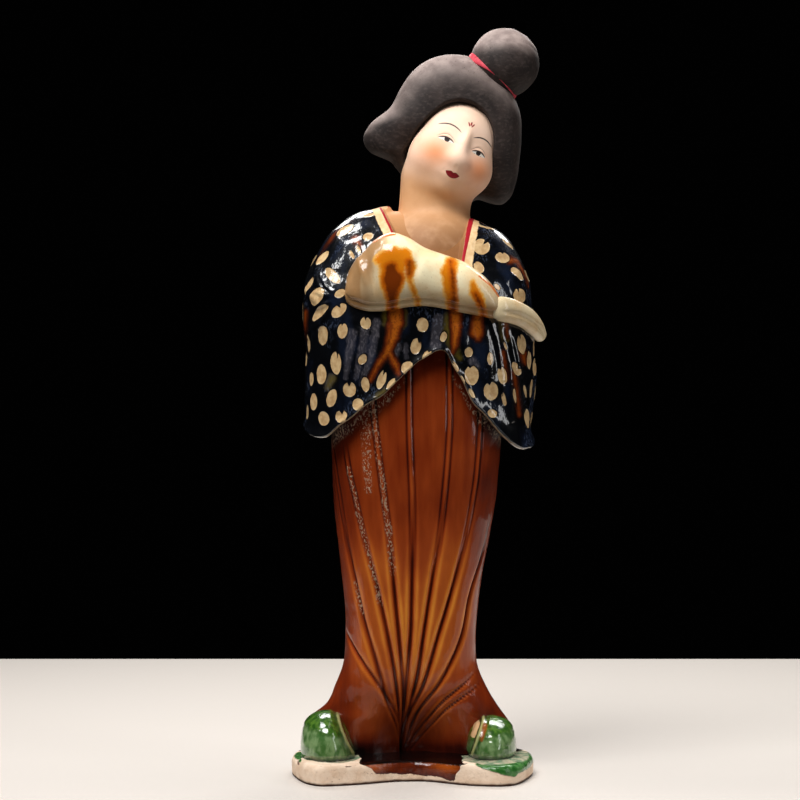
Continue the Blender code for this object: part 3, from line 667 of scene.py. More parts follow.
def robe_spots(points, angle, seed=21):
    """All spots as grid places: the listed ones by x and height, the others on a lattice."""
    random = np.random.default_rng(seed)
    front = np.abs(angle) < math.radians(FRONT_REACH)
    spots = []
    for x, height, half_width, half_height, tilt in FRONT_SPOTS:
        gap = np.hypot(points[..., 0] - x, points[..., 2] - height) + FAR * ~front
        row, column = np.unravel_index(np.argmin(gap), gap.shape)
        spots.append((row, column, half_width, half_height, tilt))
    taken = [points[row, column] for row, column, *_ in spots]
    for level in range(SPOT_ROWS):
        share = (level + 0.5) / SPOT_ROWS
        row = int((SPOT_RISE[0] + SPOT_RISE[1] * share) * len(points))
        pitch = math.degrees(SPOT_PITCH / SPOT_RADIUS)
        for degrees in np.arange(SPOT_SPAN[0] + pitch * 0.5 * (level % 2), SPOT_SPAN[1], pitch):
            place = math.remainder(math.radians(degrees + random.uniform(-4, 4)), 2 * math.pi)
            column = int(np.argmin(np.abs(angle - place)))
            at_row = int(np.clip(row + random.integers(-4, 5), 3, len(points) - 12))
            size = random.uniform(3.2, 4.6)
            tall = random.uniform(1.05, 1.6) if share < 0.6 else random.uniform(0.9, 1.15)
            here = points[at_row, column]
            if min(np.linalg.norm(here - other) for other in taken) > SPOT_GAP:
                spots.append((at_row, column, size, size * tall, random.uniform(-15, 15)))
                taken.append(here)
    return spots


ORANGE_RUNS = (  # x, height, half width, from point to point
    (-10.4, 266.7, 4.1, -9.8, 258.6, 4.1), (-9.8, 258.6, 3.5, -11, 250.5, 2.6, -15.1, 241.2, 2.1),
    (-13.3, 258.6, 1.2, -14.5, 245.3, 1.4), (-15.1, 241.2, 2.1, -20.9, 233.1, 1.5, -25.6, 223.8, 0.7),
    (-13.9, 241.2, 1.8, -9.8, 233.1, 1.8, -8.1, 228.4, 0.9), (25, 264.4, 3.5, 25, 256.3, 3.2),
    (25, 256.3, 2.9, 24.5, 245.3, 1.9, 23.3, 241.2, 0.9),
    (37.9, 262.2, 2.9, 37.3, 252.9, 3.8, 37.9, 249.4, 1.5), (53.9, 260.1, 1.3, 55.7, 250.8, 0.9),
    (52.7, 241.4, 0.7, 55.2, 225, 0.5), (59.4, 229.7, 0.9, 63.3, 204.5, 0.9),
    (64.9, 241.6, 1.8, 66.2, 235.7, 1.2),
    (-36.1, 321.3, 1.2, -44.4, 314.5, 1.1, -54, 304.5, 0.8, -58.8, 296.8, 0.4),
    (-34, 308.8, 2.1, -31.6, 303.8, 1.5, -30.4, 300.1, 0.6),
    (-63.9, 265.5, 0.9, -64.7, 255, 0.9, -65.1, 248.1, 0.6), (57.5, 296, 2, 64.6, 296.1, 0.9),
    (63.1, 294, 1.3, 68, 285.9, 0.9), (68, 285.9, 0.8, 69.1, 281, 0.4))
OLIVE_RUNS = (
    (21, 262.1, 2.3, 21, 251.1, 2.6, 25.1, 241.2, 1.8, 27.4, 237.7, 0.6),
    (52.7, 260.1, 2, 54.5, 249.6, 1.8), (-5.8, 264.4, 1.8, -5.8, 257.4, 1.2),
    (-15.6, 264.4, 1.8, -15.6, 258.6, 1.2), (-47.4, 226.2, 1.5, -49.8, 220.9, 0.9),
    (-14.5, 219.7, 1.5, -20.3, 215.6, 1.2))
SILVER_RUNS = (
    (-35.5, 252.4, 2.3, -37.3, 239, 1.8, -39.1, 226.2, 0.7),
    (-27.3, 256.9, 1.9, -29.6, 240.7, 1.9, -33.2, 226.1, 0.9),
    (-21.2, 258.6, 2, -23.8, 241.2, 1.8, -30.3, 222.6, 1.1), (-8.7, 244.7, 1.6, -11, 235.4, 0.9),
    (-4, 245.3, 0.9, -4, 238.3, 0.7), (14.6, 260.9, 2.6, 13.4, 245.8, 2.9),
    (-48, 226.2, 1.8, -50.4, 220.4, 1.2), (35, 236, 2.3, 38, 233.1, 1.2))


def neck_line(x, height, neck):
    """Signed distance to the red line, thin on the left and wider upwards on the right."""
    right = smooth(x, 5, 20) * smooth(height, 290, 322)
    half = 0.75 + 0.75 * right
    return half - np.abs(neck + 0.1 + half)


def robe_rings():
    """The robe's points in metres, and its fields."""
    turn = round_turn(ROBE_COLUMNS, -math.pi)
    angle = turn - ROBE_CROWDING * np.sin(turn)
    hem = through(np.degrees(angle), ROBE_HEM)
    share = np.linspace(0, 1, ROBE_ROWS)[:, None]
    station = hem + HEM_LIFT + (SHOULDER_TOP - CROWN_DROP - hem - HEM_LIFT) * share
    x, y, height = robe_point(angle, station)
    up = station - hem
    points = np.stack((x, y, height), axis=-1)
    metres = placed(x, y, height)
    curl = HEM_CURL * np.clip(1 - up / HEM_BAND, 0, 1) ** 2 - 1.0 * (1 - smooth(up, 0, 1.6))
    front = y < NECK_MIDDLE[1] - 6
    opening = np.minimum(x - through(height, NECK_LEFT), through(height, NECK_RIGHT) - x)
    nape = NECK_RING - np.hypot(x - NECK_MIDDLE[0], y - NECK_MIDDLE[1])
    neck = np.where(front, opening, np.maximum(nape, -50))
    neck = np.where(height > NECK_START, neck, -50.0)
    uneven = 0.35 + 0.5 * smooth(height, 262, 290)
    press = curl + uneven * cloud(metres, 0.013, 31) + 0.2 * cloud(metres, 0.006, 32)
    press -= NECK_DEPTH * smooth(neck, -0.6, 2.2)
    normal = grid_normal(points)
    spots = spot_field(points, normal, robe_spots(points, angle), 22)
    press -= SPOT_DEPTH * smooth(spots, -0.4, 0.4)
    points = points + press[..., None] * normal
    facing = -SIDE_FADE[0] * np.clip(y + SIDE_FADE[1], 0, FAR)
    fields = dict(spots=spots, neck=neck, up=up,
                  orange=stroke(x, height, ORANGE_RUNS) + facing,
                  olive=stroke(x, height, OLIVE_RUNS) + facing,
                  silver=stroke(x, height, SILVER_RUNS) + facing,
                  red=neck_line(x, height, neck))
    inner = [np.stack(robe_point(angle, hem + lift, inset), axis=-1) for lift, inset in HEM_INSIDE]
    rings = np.concatenate((inner, points))
    fields = with_first_row(fields, len(inner))
    fields["up"][:len(inner)] = np.linspace(-6, 0, len(inner))[:, None]
    return to_metres(rings), fields


# %% [markdown]
# ## Sleeves folded over the hands
# The hands are hidden in the folded sleeves, which lie across the front as one long pillow: an
# oval section carried from left to right, whose top, bottom and front are curves through a few
# stations. A flat flange runs along the lower edge, and soft dents gather at the left end. The
# loose end of the sleeve curls round the right side with a shallow channel along it.

# %% Sleeve shapes
MUFF_STATIONS = ((-40, 276, 274, -46), (-38.7, 286, 270, -51), (-35, 293.5, 267, -55),
                 (-29, 300, 265.5, -58), (-22, 307, 265, -61), (-13, 311, 265.5, -63),
                 (-3, 308.5, 267.5, -63), (7, 302.5, 268, -62), (18, 298.5, 266.5, -61),
                 (30, 294, 264, -60), (40, 287.5, 262, -58), (47, 280, 261, -55),
                 (51, 273, 262.5, -51), (52, 268, 266.5, -47))
MUFF_BACK = -28.0
MUFF_FULLNESS = 0.9
MUFF_FRONT = (38, 50)        # forward reach over which dents and flange fade in
FLANGE_RIDGE = 1.2           # over the lower edge
FLANGE_GROOVE = 3.6
MUFF_COLUMNS = 260
MUFF_ROWS = 180
MUFF_DENTS = (  # x, height, half width across, half width up, rise, lean in degrees
    (-35, 281, 3.6, 10, -1.8, -8), (-29.5, 288, 2.0, 9, 1.2, -18), (-24.5, 284, 1.7, 12, -1.1, -10),
    (-20.5, 288, 2.2, 12, 0.5, -8), (-36, 270, 5, 2.2, -0.8, 20), (-12, 286, 6.5, 10, -1.3, 0),
    (-18, 303, 3, 5, 0.5, 0), (1.8, 290, 2.6, 5.5, -1.3, 10), (8, 292, 5, 8, 0.4, 20),
    (24, 286, 6, 8, 0.5, 25))
SLEEVE_RUNS = (  # x, height, half width, from point to point
    (-18.5, 294.5, 3.6, -11, 298.6, 3.8, -4.6, 295.5, 3.6),
    (-12.1, 291.8, 7.9, -12.1, 281.3, 6.9, -12.1, 270.9, 3.5, -12.1, 264, 3.2),
    (-5.2, 297.4, 4, -1.2, 289.3, 2.9), (-1.2, 289.3, 2.3, -1.7, 282.4, 1.4),
    (-1.7, 282.4, 1.2, 2.9, 270.9, 1.7, 2.9, 265.7, 0.9), (22.4, 292.8, 3.7, 20.7, 287, 4.6),
    (20.7, 287, 4, 21.3, 276.6, 3.7), (21.3, 276.6, 3.5, 23, 264.6, 2.6),
    (35.1, 281.8, 1.4, 35.7, 275.5, 3.2, 38.6, 270.9, 2.6, 41.5, 261.7, 1.4),
    (51.8, 272, 0.7, 53, 266.3, 1.4, 52.4, 259.9, 0.7))
SLEEVE_CORES = (
    (-12.8, 289.5, 3.4, -11.8, 282.4, 6), (-11.5, 282.4, 6, -12.1, 275.5, 3.5),
    (-12.1, 275.5, 2.9, -12.1, 269.7, 2.3), (-12.1, 269.7, 1.7, -12.1, 264, 2.6),
    (-2.3, 292.8, 1.8, -2.3, 285.9, 1.3),
    (21.9, 293.9, 0.9, 22.4, 288.2, 1.3, 23.6, 276.6, 1.4, 23.6, 265.7, 2.1),
    (36.3, 274.3, 1.2, 40.3, 266.3, 1.3, 41.5, 261.7, 1.3), (52.4, 268.6, 0.6, 52.4, 260.5, 0.8))
SLEEVE_RIMS = (
    (-22.5, 305.4, 0.5, -17.9, 308.3, 0.7, -10.4, 309.8, 0.5),
    (38.6, 285.3, 0.5, 46.1, 279.5, 0.7, 51.2, 272.6, 0.8))


def muff_rings():
    """Points of the folded sleeves in metres, and their fields."""
    angle = round_turn(MUFF_COLUMNS)
    share = np.linspace(0, 1, MUFF_ROWS)[:, None]
    along = (share - 0.12 * np.sin(2 * math.pi * share) / math.pi) * (len(MUFF_STATIONS) - 1)
    x, top, bottom, front = station_curves(along, MUFF_STATIONS)
    height = (top + bottom) / 2 + (top - bottom) / 2 * power(np.sin(angle), MUFF_FULLNESS)
    y = (front + MUFF_BACK) / 2 + (front - MUFF_BACK) / 2 * power(np.cos(angle), MUFF_FULLNESS)
    x = x + 0 * angle
    points = np.stack((x, y, height), axis=-1)
    normal = grid_normal(points)
    middle = points.mean(axis=1, keepdims=True)
    normal *= np.sign(np.sum(normal * (points - middle), axis=-1, keepdims=True))
    facing = smooth(-y, *MUFF_FRONT)
    above = height - bottom
    ends = smooth(share, 0.02, 0.12) * (1 - smooth(share, 0.9, 0.99))
    flange = 0.9 * bell(above - FLANGE_RIDGE, 1.3) - 0.6 * bell(above - FLANGE_GROOVE, 0.7)
    press = flange * facing * ends
    for centre, level, wide, tall, rise, lean in MUFF_DENTS:
        tilt = math.radians(lean)
        u = (x - centre) * math.cos(tilt) - (height - level) * math.sin(tilt)
        v = (x - centre) * math.sin(tilt) + (height - level) * math.cos(tilt)
        press += rise * bell(u, wide) * bell(v, tall) * facing
    metres = placed(x, y, height)
    press += 0.22 * cloud(metres, 0.012, 41) * ends
    points = points + press[..., None] * normal
    runs, cores, rims = (stroke(x, height, marks) + np.where(y < -36, 0, -FAR)
                         for marks in (SLEEVE_RUNS, SLEEVE_CORES, SLEEVE_RIMS))
    # painted shade: darker where the sleeves turn away from the light, left and down, and at the ends
    turned = 1.0 * smooth(-normal[..., 0], 0.05, 0.55) + 0.55 * smooth(-normal[..., 2], -0.1, 0.8)
    turned += 0.6 * smooth(x, 24, 50) + 0.8 * smooth(-x, 29, 36)
    return (to_metres(points),
            dict(runs=runs, cores=cores, rims=rims, turned=np.minimum(turned, 1),
                 # under: painted shade in the groove above the flange
                 under=bell(above - FLANGE_GROOVE, 0.9) * facing))


CUFF_STATIONS = ((44, -44, 267, 3), (50, -49, 266.5, 7.0), (57, -45, 265.5, 7.4),
                 (63.5, -38, 263.4, 7.2), (69.5, -29, 260, 7.4), (74, -19, 256, 6.6),
                 (76, -12, 253, 4.8), (76.5, -9, 251, 1.6))  # x, y, height, half height
CUFF_HALF_THICKNESS = 4.2
CUFF_COLUMNS = 120
CUFF_ROWS = 110
CUFF_CHANNEL = 0.9


def cuff_rings():
    """Points of the loose sleeve end in metres: an oval section along a curl, with a channel."""
    angle = round_turn(CUFF_COLUMNS)
    along = np.linspace(0, len(CUFF_STATIONS) - 1, CUFF_ROWS)
    x, y, height, half = station_curves(along, CUFF_STATIONS)
    run = np.gradient(np.stack((x, y), axis=-1), axis=0)
    run /= np.linalg.norm(run, axis=1, keepdims=True)
    thick = CUFF_HALF_THICKNESS * np.minimum(1, half / CUFF_HALF_THICKNESS)
    out = thick[:, None] * np.cos(angle)
    rise = half[:, None] * np.sin(angle)
    middle = smooth(along, 0.8, 2.0) * (1 - smooth(along, 5.2, 6.6))
    out -= CUFF_CHANNEL * middle[:, None] * bell(rise + 1.8, 1.5) * (np.cos(angle) > 0)
    return placed(x[:, None] + out * run[:, 1:], y[:, None] - out * run[:, :1], height[:, None] + rise)


# %% [markdown]
# ## Shoes
# Two upturned toes stand out of the skirt. Each side narrows upwards as the root of one minus the
# height to a power: a high power gives the upright outer wall, a low one the slanting inner
# side. A seam runs up the inner side as a thin ridge, where the glaze ran thin.

# %% Shoe shape
SHOES = (  # x, y, height, half width, inner power
    (-50.2, -9.0, 26.8, 16.9, 1.05), (47.3, -5.0, 22.9, 15.1, 2.5))
SHOE_HALF_DEPTH = 26.5
SHOE_OUTER = 4.5
SHOE_DEPTH_POWER = 3.0
SHOE_FRONT = 4               # marks are painted in front of this y
CAP_RISE = 0.56              # where the glossy cap begins, as a share of a toe's height
CAP_SLOPE = 0.25             # and how much it rises outwards
SEAM_RISE = 0.55
SEAM_GROOVE = 0.35
SHOE_COLUMNS = 210
SHOE_ROWS = 90
SHOE_SEAMS = (((-45.6, 26, 0.1, -42.0, 16, 0.1, -34.6, 1, 0.1),),
              ((43.0, 22.5, 0.1, 39.6, 14, 0.1, 35.0, 2, 0.1),))
SHOE_BARE = ((), ((39.0, 20.0, 1.5, 36.2, 13.0, 1.2),))       # bare clay on the right one
SHOE_RUST = ((), ((43.4, 19.5, 1.0, 40.8, 11.5, 0.6),))


def shoe_rings(x_middle, y_middle, top, half_width, inner, seam, bare, rust):
    """Points of a toe in metres, and its fields: seam, cap, height and the two patches."""
    angle = round_turn(SHOE_COLUMNS)
    share = np.sin(np.linspace(0, 0.995 * math.pi / 2, SHOE_ROWS))[:, None]
    side = np.where(np.sin(angle) * x_middle > 0, SHOE_OUTER, inner)
    x = x_middle + half_width * np.sqrt(1 - share ** side) * np.sin(angle)
    y = y_middle - SHOE_HALF_DEPTH * np.sqrt(1 - share ** SHOE_DEPTH_POWER) * np.cos(angle)
    height = top * share + 0 * angle
    points = np.stack((x, y, height), axis=-1)
    normal = grid_normal(points)
    normal *= np.sign(np.sum(normal * (points - (x_middle, y_middle, 0))))
    line, bare, rust = (stroke(x, height, marks) + np.where(y < SHOE_FRONT, 0, -FAR)
                        for marks in (seam, bare, rust))
    lean = height - top * CAP_RISE - math.copysign(CAP_SLOPE, x_middle) * (x - x_middle)
    metres = placed(x, y, height)
    press = SEAM_RISE * bell(line, 0.8) - SEAM_GROOVE * bell(line + 1.8, 0.9)
    press += 0.35 * cloud(metres, 0.009, 51)
    press += 0.35 * smooth(lean, -1.0, 1.5) * smooth(-y, -12, 4)
    press -= 0.9 * (1 - smooth(height, 0, 3.5))
    points = points + press[..., None] * normal
    rings = np.concatenate((points[:1] - (0, 0, SEAT_DEPTH), points))
    fields = with_first_row(dict(seam=line, cap=lean, height=height, bare=bare, rust=rust), 1)
    return to_metres(rings), fields


# %% [markdown]
# ## Head, neck and chest
# The head is a soft union of ellipsoids in the head's own frame of right, forward and up, with
# the neck as a capsule and the chest as one more ellipsoid. Rays from an axis inside find the
# surface by halving. The face keeps to the proportions that drawing books give: eyes at half the
# height of the head, one eye's width apart, the nose ending half way from brow to chin, and
# the mouth a third of the way down from there. It is calm, with lowered lids and closed lips.

# %% Head shape
HEAD_CENTRE = (25.6, -3.0, 364.0)
HEAD_ROLL = math.radians(23)
HEAD_YAW = math.radians(10)
HEAD_FORMS = (((0, -3, 3), (25, 25, 29)), ((0, 4, -9), (25.5, 20.5, 20)),
              ((0, 15, -22), (8, 7, 6.5)), ((-9, 12, -10), (12, 11, 11)),
              ((9, 12, -10), (12, 11, 11)), ((0, 4, -25), (15, 13, 8)),
              ((0, 23.0, -1.5), (2.6, 4.0, 8.5)), ((0, 25.2, -7.5), (3.6, 3.2, 2.8)),
              ((0, 21.6, -16.5), (5.0, 3.0, 2.4)),
              ((-3.4, 22.6, -8.2), (2.0, 2.6, 1.8)), ((3.4, 22.6, -8.2), (2.0, 2.6, 1.8)))
NECK_BOTTOM = (12.0, 3.0, 312.0)
NECK_TOP = (14.5, 2.0, 346.0)
NECK_RADIUS = 21.3
CHEST_FORM = ((12, -4, 296), (34, 33, 33))
FORM_BLEND = 2.2
HEAD_REACH = 60.0
HALVINGS = 18
HEAD_RAYS = ((0, 12, -2, 306, -60), (0.15, 12.5, -1, 318, -35), (0.3, 14, 0, 332, -22),
             (0.4, 18, -1, 346, -32), (0.5, 25.6, -3, 364, -50), (0.75, 25.6, -3, 364, 18),
             (1, 25.6, -3, 364, 90))
HEAD_START = 0.5
HEAD_CROWDING = 0.5
HEAD_COLUMNS = 320
HEAD_ROWS = ((0, 0), (0.22, 0.5), (0.85, 0.87), (1, 1))    # share of the rows, share of the rays
HEAD_ROW_COUNT = 280


def head_frame():
    """Directions right, forward and up of the head, as rows."""
    up = np.array((math.sin(HEAD_ROLL), 0.0, math.cos(HEAD_ROLL)))
    flat = np.array((math.cos(HEAD_ROLL), 0.0, -math.sin(HEAD_ROLL)))
    toward = np.array((0.0, -1.0, 0.0))
    forward = toward * math.cos(HEAD_YAW) + flat * math.sin(HEAD_YAW)
    right = flat * math.cos(HEAD_YAW) - toward * math.sin(HEAD_YAW)
    return np.array((right, forward, up))


def form_distance(points, centre, radii):
    """Rough distance to an ellipsoid: its scaled radius less one, times its least radius."""
    return (np.linalg.norm((points - centre) / radii, axis=-1) - 1) * min(radii)


def head_field(points):
    """Below zero inside head, neck and chest: a soft union of their forms."""
    local = (points - HEAD_CENTRE) @ head_frame().T
    distances = [form_distance(local, *form) for form in HEAD_FORMS]
    distances.append(form_distance(points, *CHEST_FORM))
    axis = np.subtract(NECK_TOP, NECK_BOTTOM)
    along = np.clip((points - NECK_BOTTOM) @ axis / (axis @ axis), 0, 1)
    nearest = NECK_BOTTOM + along[..., None] * axis
    distances.append(np.linalg.norm(points - nearest, axis=-1) - NECK_RADIUS)
    return -FORM_BLEND * np.log(sum(np.exp(-distance / FORM_BLEND) for distance in distances))


# %% [markdown]
# ### Painted face
# Brows, lash lines, lips and the three petals on the forehead are arcs in the plane of the
# face. `arc` is the distance to a parabola over a span, so a line can swell in its middle and
# run out thin. The same arcs press the lids and the parting of the lips into the surface.

# %% Face fields
EYE_ASIDE = 10.0             # from the middle of the face to the middle of an eye
EYE_HALF = 5.2
EYE_LEVEL = 1.2
BROW_LEVEL = 9.6
MOUTH_LEVEL = -16.6
CHEEK = (14.5, -8.0)         # aside and level of the middle of the blush
CHEEK_REACH = 9.0
MOUTH_HALF = 4.6
FOREHEAD_LEVEL = 16.0        # of the three petals


def arc(right, up, middle, half, level, rise, width):
    """Signed distance to a painted arc: level + rise * (1 - t * t), as wide as 1 - t to the 4th."""
    t = (right - middle) / half
    curve = level + rise * (1 - t * t)
    slope = np.sqrt(1 + (2 * rise * t / half) ** 2)
    return np.minimum(width * (1 - np.clip(t, -1, 1) ** 4) - np.abs(up - curve) / slope,
                      (1 - np.abs(t)) * half)


def face_fields(right, forward, up):
    """Painted parts of the face as signed distances, with the relief that goes with them."""
    aside = np.abs(right)
    lid = arc(aside, up, EYE_ASIDE + 0.6, EYE_HALF, EYE_LEVEL - 0.5, 2.0, 0.42)
    lower = arc(aside, up, EYE_ASIDE + 0.2, EYE_HALF - 1.2, EYE_LEVEL - 0.4, -0.7, 0.13)
    crease = arc(aside, up, EYE_ASIDE + 0.6, EYE_HALF + 0.4, EYE_LEVEL + 0.2, 3.4, 0.15)
    brow = arc(aside, up, EYE_ASIDE + 0.8, 7.2, BROW_LEVEL - 1.2, 2.6, 0.42)
    lines = np.maximum.reduce((lid, lower, crease, brow))
    t = np.clip((aside - EYE_ASIDE - 0.6) / EYE_HALF, -1, 1)
    swell = 1 - t * t
    open_eye = np.minimum(EYE_LEVEL - 0.5 + 2.0 * swell - up, up - EYE_LEVEL + 0.4 + 0.7 * swell)
    iris = np.minimum(open_eye, 1.55 - np.hypot(aside - EYE_ASIDE - 0.3, up - EYE_LEVEL - 0.3))
    share = np.clip(aside / MOUTH_HALF, 0, 1)
    corner = MOUTH_LEVEL + 0.5 * share ** 2
    bow = corner + 2.0 * (1 - share ** 1.4) - 1.0 * bell(aside, 1.0)
    below = corner - 2.3 * (1 - share ** 2) ** 0.7
    lips = np.minimum(np.minimum(bow - up, up - below), (MOUTH_HALF - aside) * 0.8)
    mark = np.full_like(up, -9.0)
    for shift, lean in ((0.0, 0.0), (-1.6, 0.5), (1.6, -0.5)):
        over = up - FOREHEAD_LEVEL
        petal = np.hypot((right - shift + lean * over) / 0.55, (over + abs(shift) * 0.45) / 1.4)
        mark = np.maximum(mark, (1 - petal) * 0.55)
    blush = bell(np.hypot((aside - CHEEK[0]) / 1.05, up - CHEEK[1]), CHEEK_REACH)
    ahead = smooth(forward, 8, 16)
    press = 0.5 * bell(aside - EYE_ASIDE - 0.6, 5) * bell(up - EYE_LEVEL - 2.2, 2.4)
    press -= 0.35 * bell(up - EYE_LEVEL - 0.2 - 3.4 * swell, 0.7) * bell(aside - EYE_ASIDE, 5)
    press -= 0.3 * bell(aside - EYE_ASIDE, 3.6) * bell(up - EYE_LEVEL, 1.0)
    parting = bell(up - MOUTH_LEVEL + 0.1 - 0.25 * bell(aside, 1.5), 0.45)
    press -= 0.5 * parting * (1 - smooth(aside, 3.2, 5.4))
    press -= 0.25 * bell(aside, 0.9) * bell(up - MOUTH_LEVEL - 4.4, 1.6)
    press -= 0.3 * bell(aside - 5.6, 0.9) * bell(up - MOUTH_LEVEL - 0.2, 1.1)
    off = np.where(forward > 4, 0.0, -9.0)
    fields = dict(lines=lines + off, eye=open_eye + off, iris=iris + off, lips=lips + off,
                  mark=mark + off, blush=blush * smooth(forward, 0, 8))
    return fields, press * ahead


def head_rings():
    """Points of head, neck and chest in metres, and the fields of the painted face."""
    turn = round_turn(HEAD_COLUMNS, -math.pi)
    turn = turn - HEAD_CROWDING * np.sin(turn)
    row = through((np.arange(HEAD_ROW_COUNT) + 0.5) / HEAD_ROW_COUNT, HEAD_ROWS)
    shares, x, y, height, lift = zip(*HEAD_RAYS)
    middle = np.stack([through(row, tuple(zip(shares, keys))) for keys in (x, y, height)], axis=-1)
    lift = np.radians(through(row, tuple(zip(shares, lift))))
    right, forward, up = head_frame()
    lean = np.clip(row / HEAD_START, 0, 1)[:, None, None]
    aside = lean * right + (1 - lean) * np.array((1.0, 0.0, 0.0))
    ahead = lean * forward + (1 - lean) * np.array((0.0, -1.0, 0.0))
    above = lean * up + (1 - lean) * np.array((0.0, 0.0, 1.0))
    ray = (np.cos(lift)[:, None, None] * (np.sin(turn)[:, None] * aside + np.cos(turn)[:, None] * ahead)
           + np.sin(lift)[:, None, None] * above)
    near = np.zeros((HEAD_ROW_COUNT, HEAD_COLUMNS))
    far = np.full_like(near, HEAD_REACH)
    for _ in range(HALVINGS):
        half = (near + far) / 2
        inside = head_field(middle[:, None] + half[..., None] * ray) < 0
        near = np.where(inside, half, near)
        far = np.where(inside, far, half)
    points = middle[:, None] + near[..., None] * ray
    local = (points - HEAD_CENTRE) @ head_frame().T
    fields, press = face_fields(*np.moveaxis(local, -1, 0))
    points = points + press[..., None] * ray
    fields["level"] = local[..., 2]
    return to_metres(points), fields


# %% [markdown]
# ## Hair, bun and ribbon
# The hair is one smooth mass that frames the face and flares at the ears. Its outline and the
# opening for the face are curves in polar form about the head's centre, and quarter turns carry
# one into the other in front and close the mass behind. The bun is a turned profile on its own
# leaning axis, and a ribbon lies in the crease under it.

# %% Hair shape
HAIR_OUTLINE = ((-180, 51), (-174, 41), (-166, 37), (-145, 34), (-110, 32), (-75, 32), (-60, 33),
                (-55.5, 36.5), (-48, 42.5), (-40.8, 44), (-27.7, 42), (-10, 39.9), (14, 41.8),
                (30, 45.9), (60, 52), (84, 58), (100, 58.3), (117, 55), (131, 50.3), (146.7, 47.5),
                (163.9, 54.5), (170.5, 56), (177.3, 53.5), (180, 51))
HAIR_OPENING = ((-180, 32), (-170, 33), (-155, 30), (-120, 24), (-80, 24), (-59, 28),
                (-37.5, 26), (-15, 23.6), (13, 24.4), (28.5, 26), (48.6, 28), (66.5, 29), (84, 29),
                (103, 27.5), (125, 25.5), (150, 26), (177, 30.5), (180, 32))
HAIR_RIM = ((-180, -5), (-120, 14), (-75, 14), (-50, 0), (-15, -10), (30, -14), (66, -16),
            (90, -16), (120, -14), (150, -12), (180, -5))
HAIR_WIDEST = 0.42
HAIR_BACK = 41.0
HAIR_FULLNESS = 0.85
HAIR_LIP = 2.0               # how far inside the opening the rolled rim begins
HAIR_ROOT = 5.0              # depth where the hair comes out of the head
HAIR_CORE = 0.4              # and how far out, as a share of the opening
HAIR_INNER = (0, 0.35, 0.7, 0.9)    # rings between root and rim
HAIR_COLUMNS = 340
HAIR_FRONT_ROWS = 80
HAIR_BACK_ROWS = 70


def hair_rings():
    """Points of the hair in metres: out of the head, over the rim, the outline and the back."""
    angle = round_turn(HAIR_COLUMNS, -math.pi)
    degrees = np.degrees(angle)
    outline, opening, rim = (through(degrees, keys)
                             for keys in (HAIR_OUTLINE, HAIR_OPENING, HAIR_RIM))
    middle = rim + HAIR_WIDEST * (HAIR_BACK - rim)
    start = np.array(HAIR_INNER)[:, None]
    radius = [opening * HAIR_CORE + (opening * (1 - HAIR_CORE) - HAIR_LIP) * start]
    depth = [HAIR_ROOT + ((rim + HAIR_ROOT) / 2 - HAIR_ROOT) * start ** 2]
    turn = (np.linspace(0, 1, HAIR_FRONT_ROWS) * math.pi / 2)[:, None]
    radius.append(opening + (outline - opening) * np.sin(turn) ** HAIR_FULLNESS)
    depth.append(middle + (rim - middle) * np.cos(turn) ** HAIR_FULLNESS)
    turn = (np.linspace(0.01, 0.985, HAIR_BACK_ROWS) * math.pi / 2)[:, None]
    radius.append(outline * np.cos(turn) ** HAIR_FULLNESS)
    depth.append(middle + (HAIR_BACK - middle) * np.sin(turn) ** HAIR_FULLNESS)
    radius, depth = np.concatenate(radius), np.concatenate(depth)
    x, y, height = HEAD_CENTRE
    points = placed(x + radius * np.cos(angle), y + depth, height + radius * np.sin(angle))
    radius = radius + 0.25 * cloud(points, 0.012, 61) * (depth > rim)
    return placed(x + radius * np.cos(angle), y + depth, height + radius * np.sin(angle))


BUN_ROOT = (45.2, 3.0, 404.5)
BUN_TIP = (69.1, 2.0, 433.3)
BUN_PROFILE = ((0, 12), (0.16, 18), (0.27, 19.8), (0.43, 20.8), (0.59, 20.3), (0.75, 17.6),
               (0.88, 12.8), (0.96, 7.5), (1, 0.6))
BUN_COLUMNS = 160
BUN_ROWS = 90
RIBBON_SHARE = 0.16          # where the ribbon lies on the bun's axis
RIBBON_LEAN = 0.035          # how much further up it lies at the left end
RIBBON_RADIUS = 17.5
RIBBON_TUBE = ((-180, 1.7), (-120, 1.6), (-60, 1.8), (0, 3.4), (30, 3.0), (60, 1.8), (90, 0.5),
               (140, 0.35), (165, 0.6), (180, 1.7))     # degrees from the left end, half width
RIBBON_COLUMNS = 16
RIBBON_ROWS = 160


def bun_axes():
    """The bun's root and tip, its axis and the two directions across it."""
    root, tip = np.array(BUN_ROOT), np.array(BUN_TIP)
    axis = (tip - root) / np.linalg.norm(tip - root)
    aside = np.cross(axis, (0.0, 1.0, 0.0))
    aside /= np.linalg.norm(aside)
    return root, tip, axis, aside, np.cross(axis, aside)


def bun_rings():
    """Points of the bun in metres: a profile turned about the leaning axis."""
    root, tip, _, aside, behind = bun_axes()
    angle = round_turn(BUN_COLUMNS)[:, None]
    share = (1 - np.cos(np.linspace(0, 1, BUN_ROWS) * math.pi)) / 2
    half = through(share, BUN_PROFILE)
    points = (root + (tip - root) * share[:, None, None]
              + half[:, None, None] * (np.cos(angle) * aside + np.sin(angle) * behind))
    return to_metres(points)


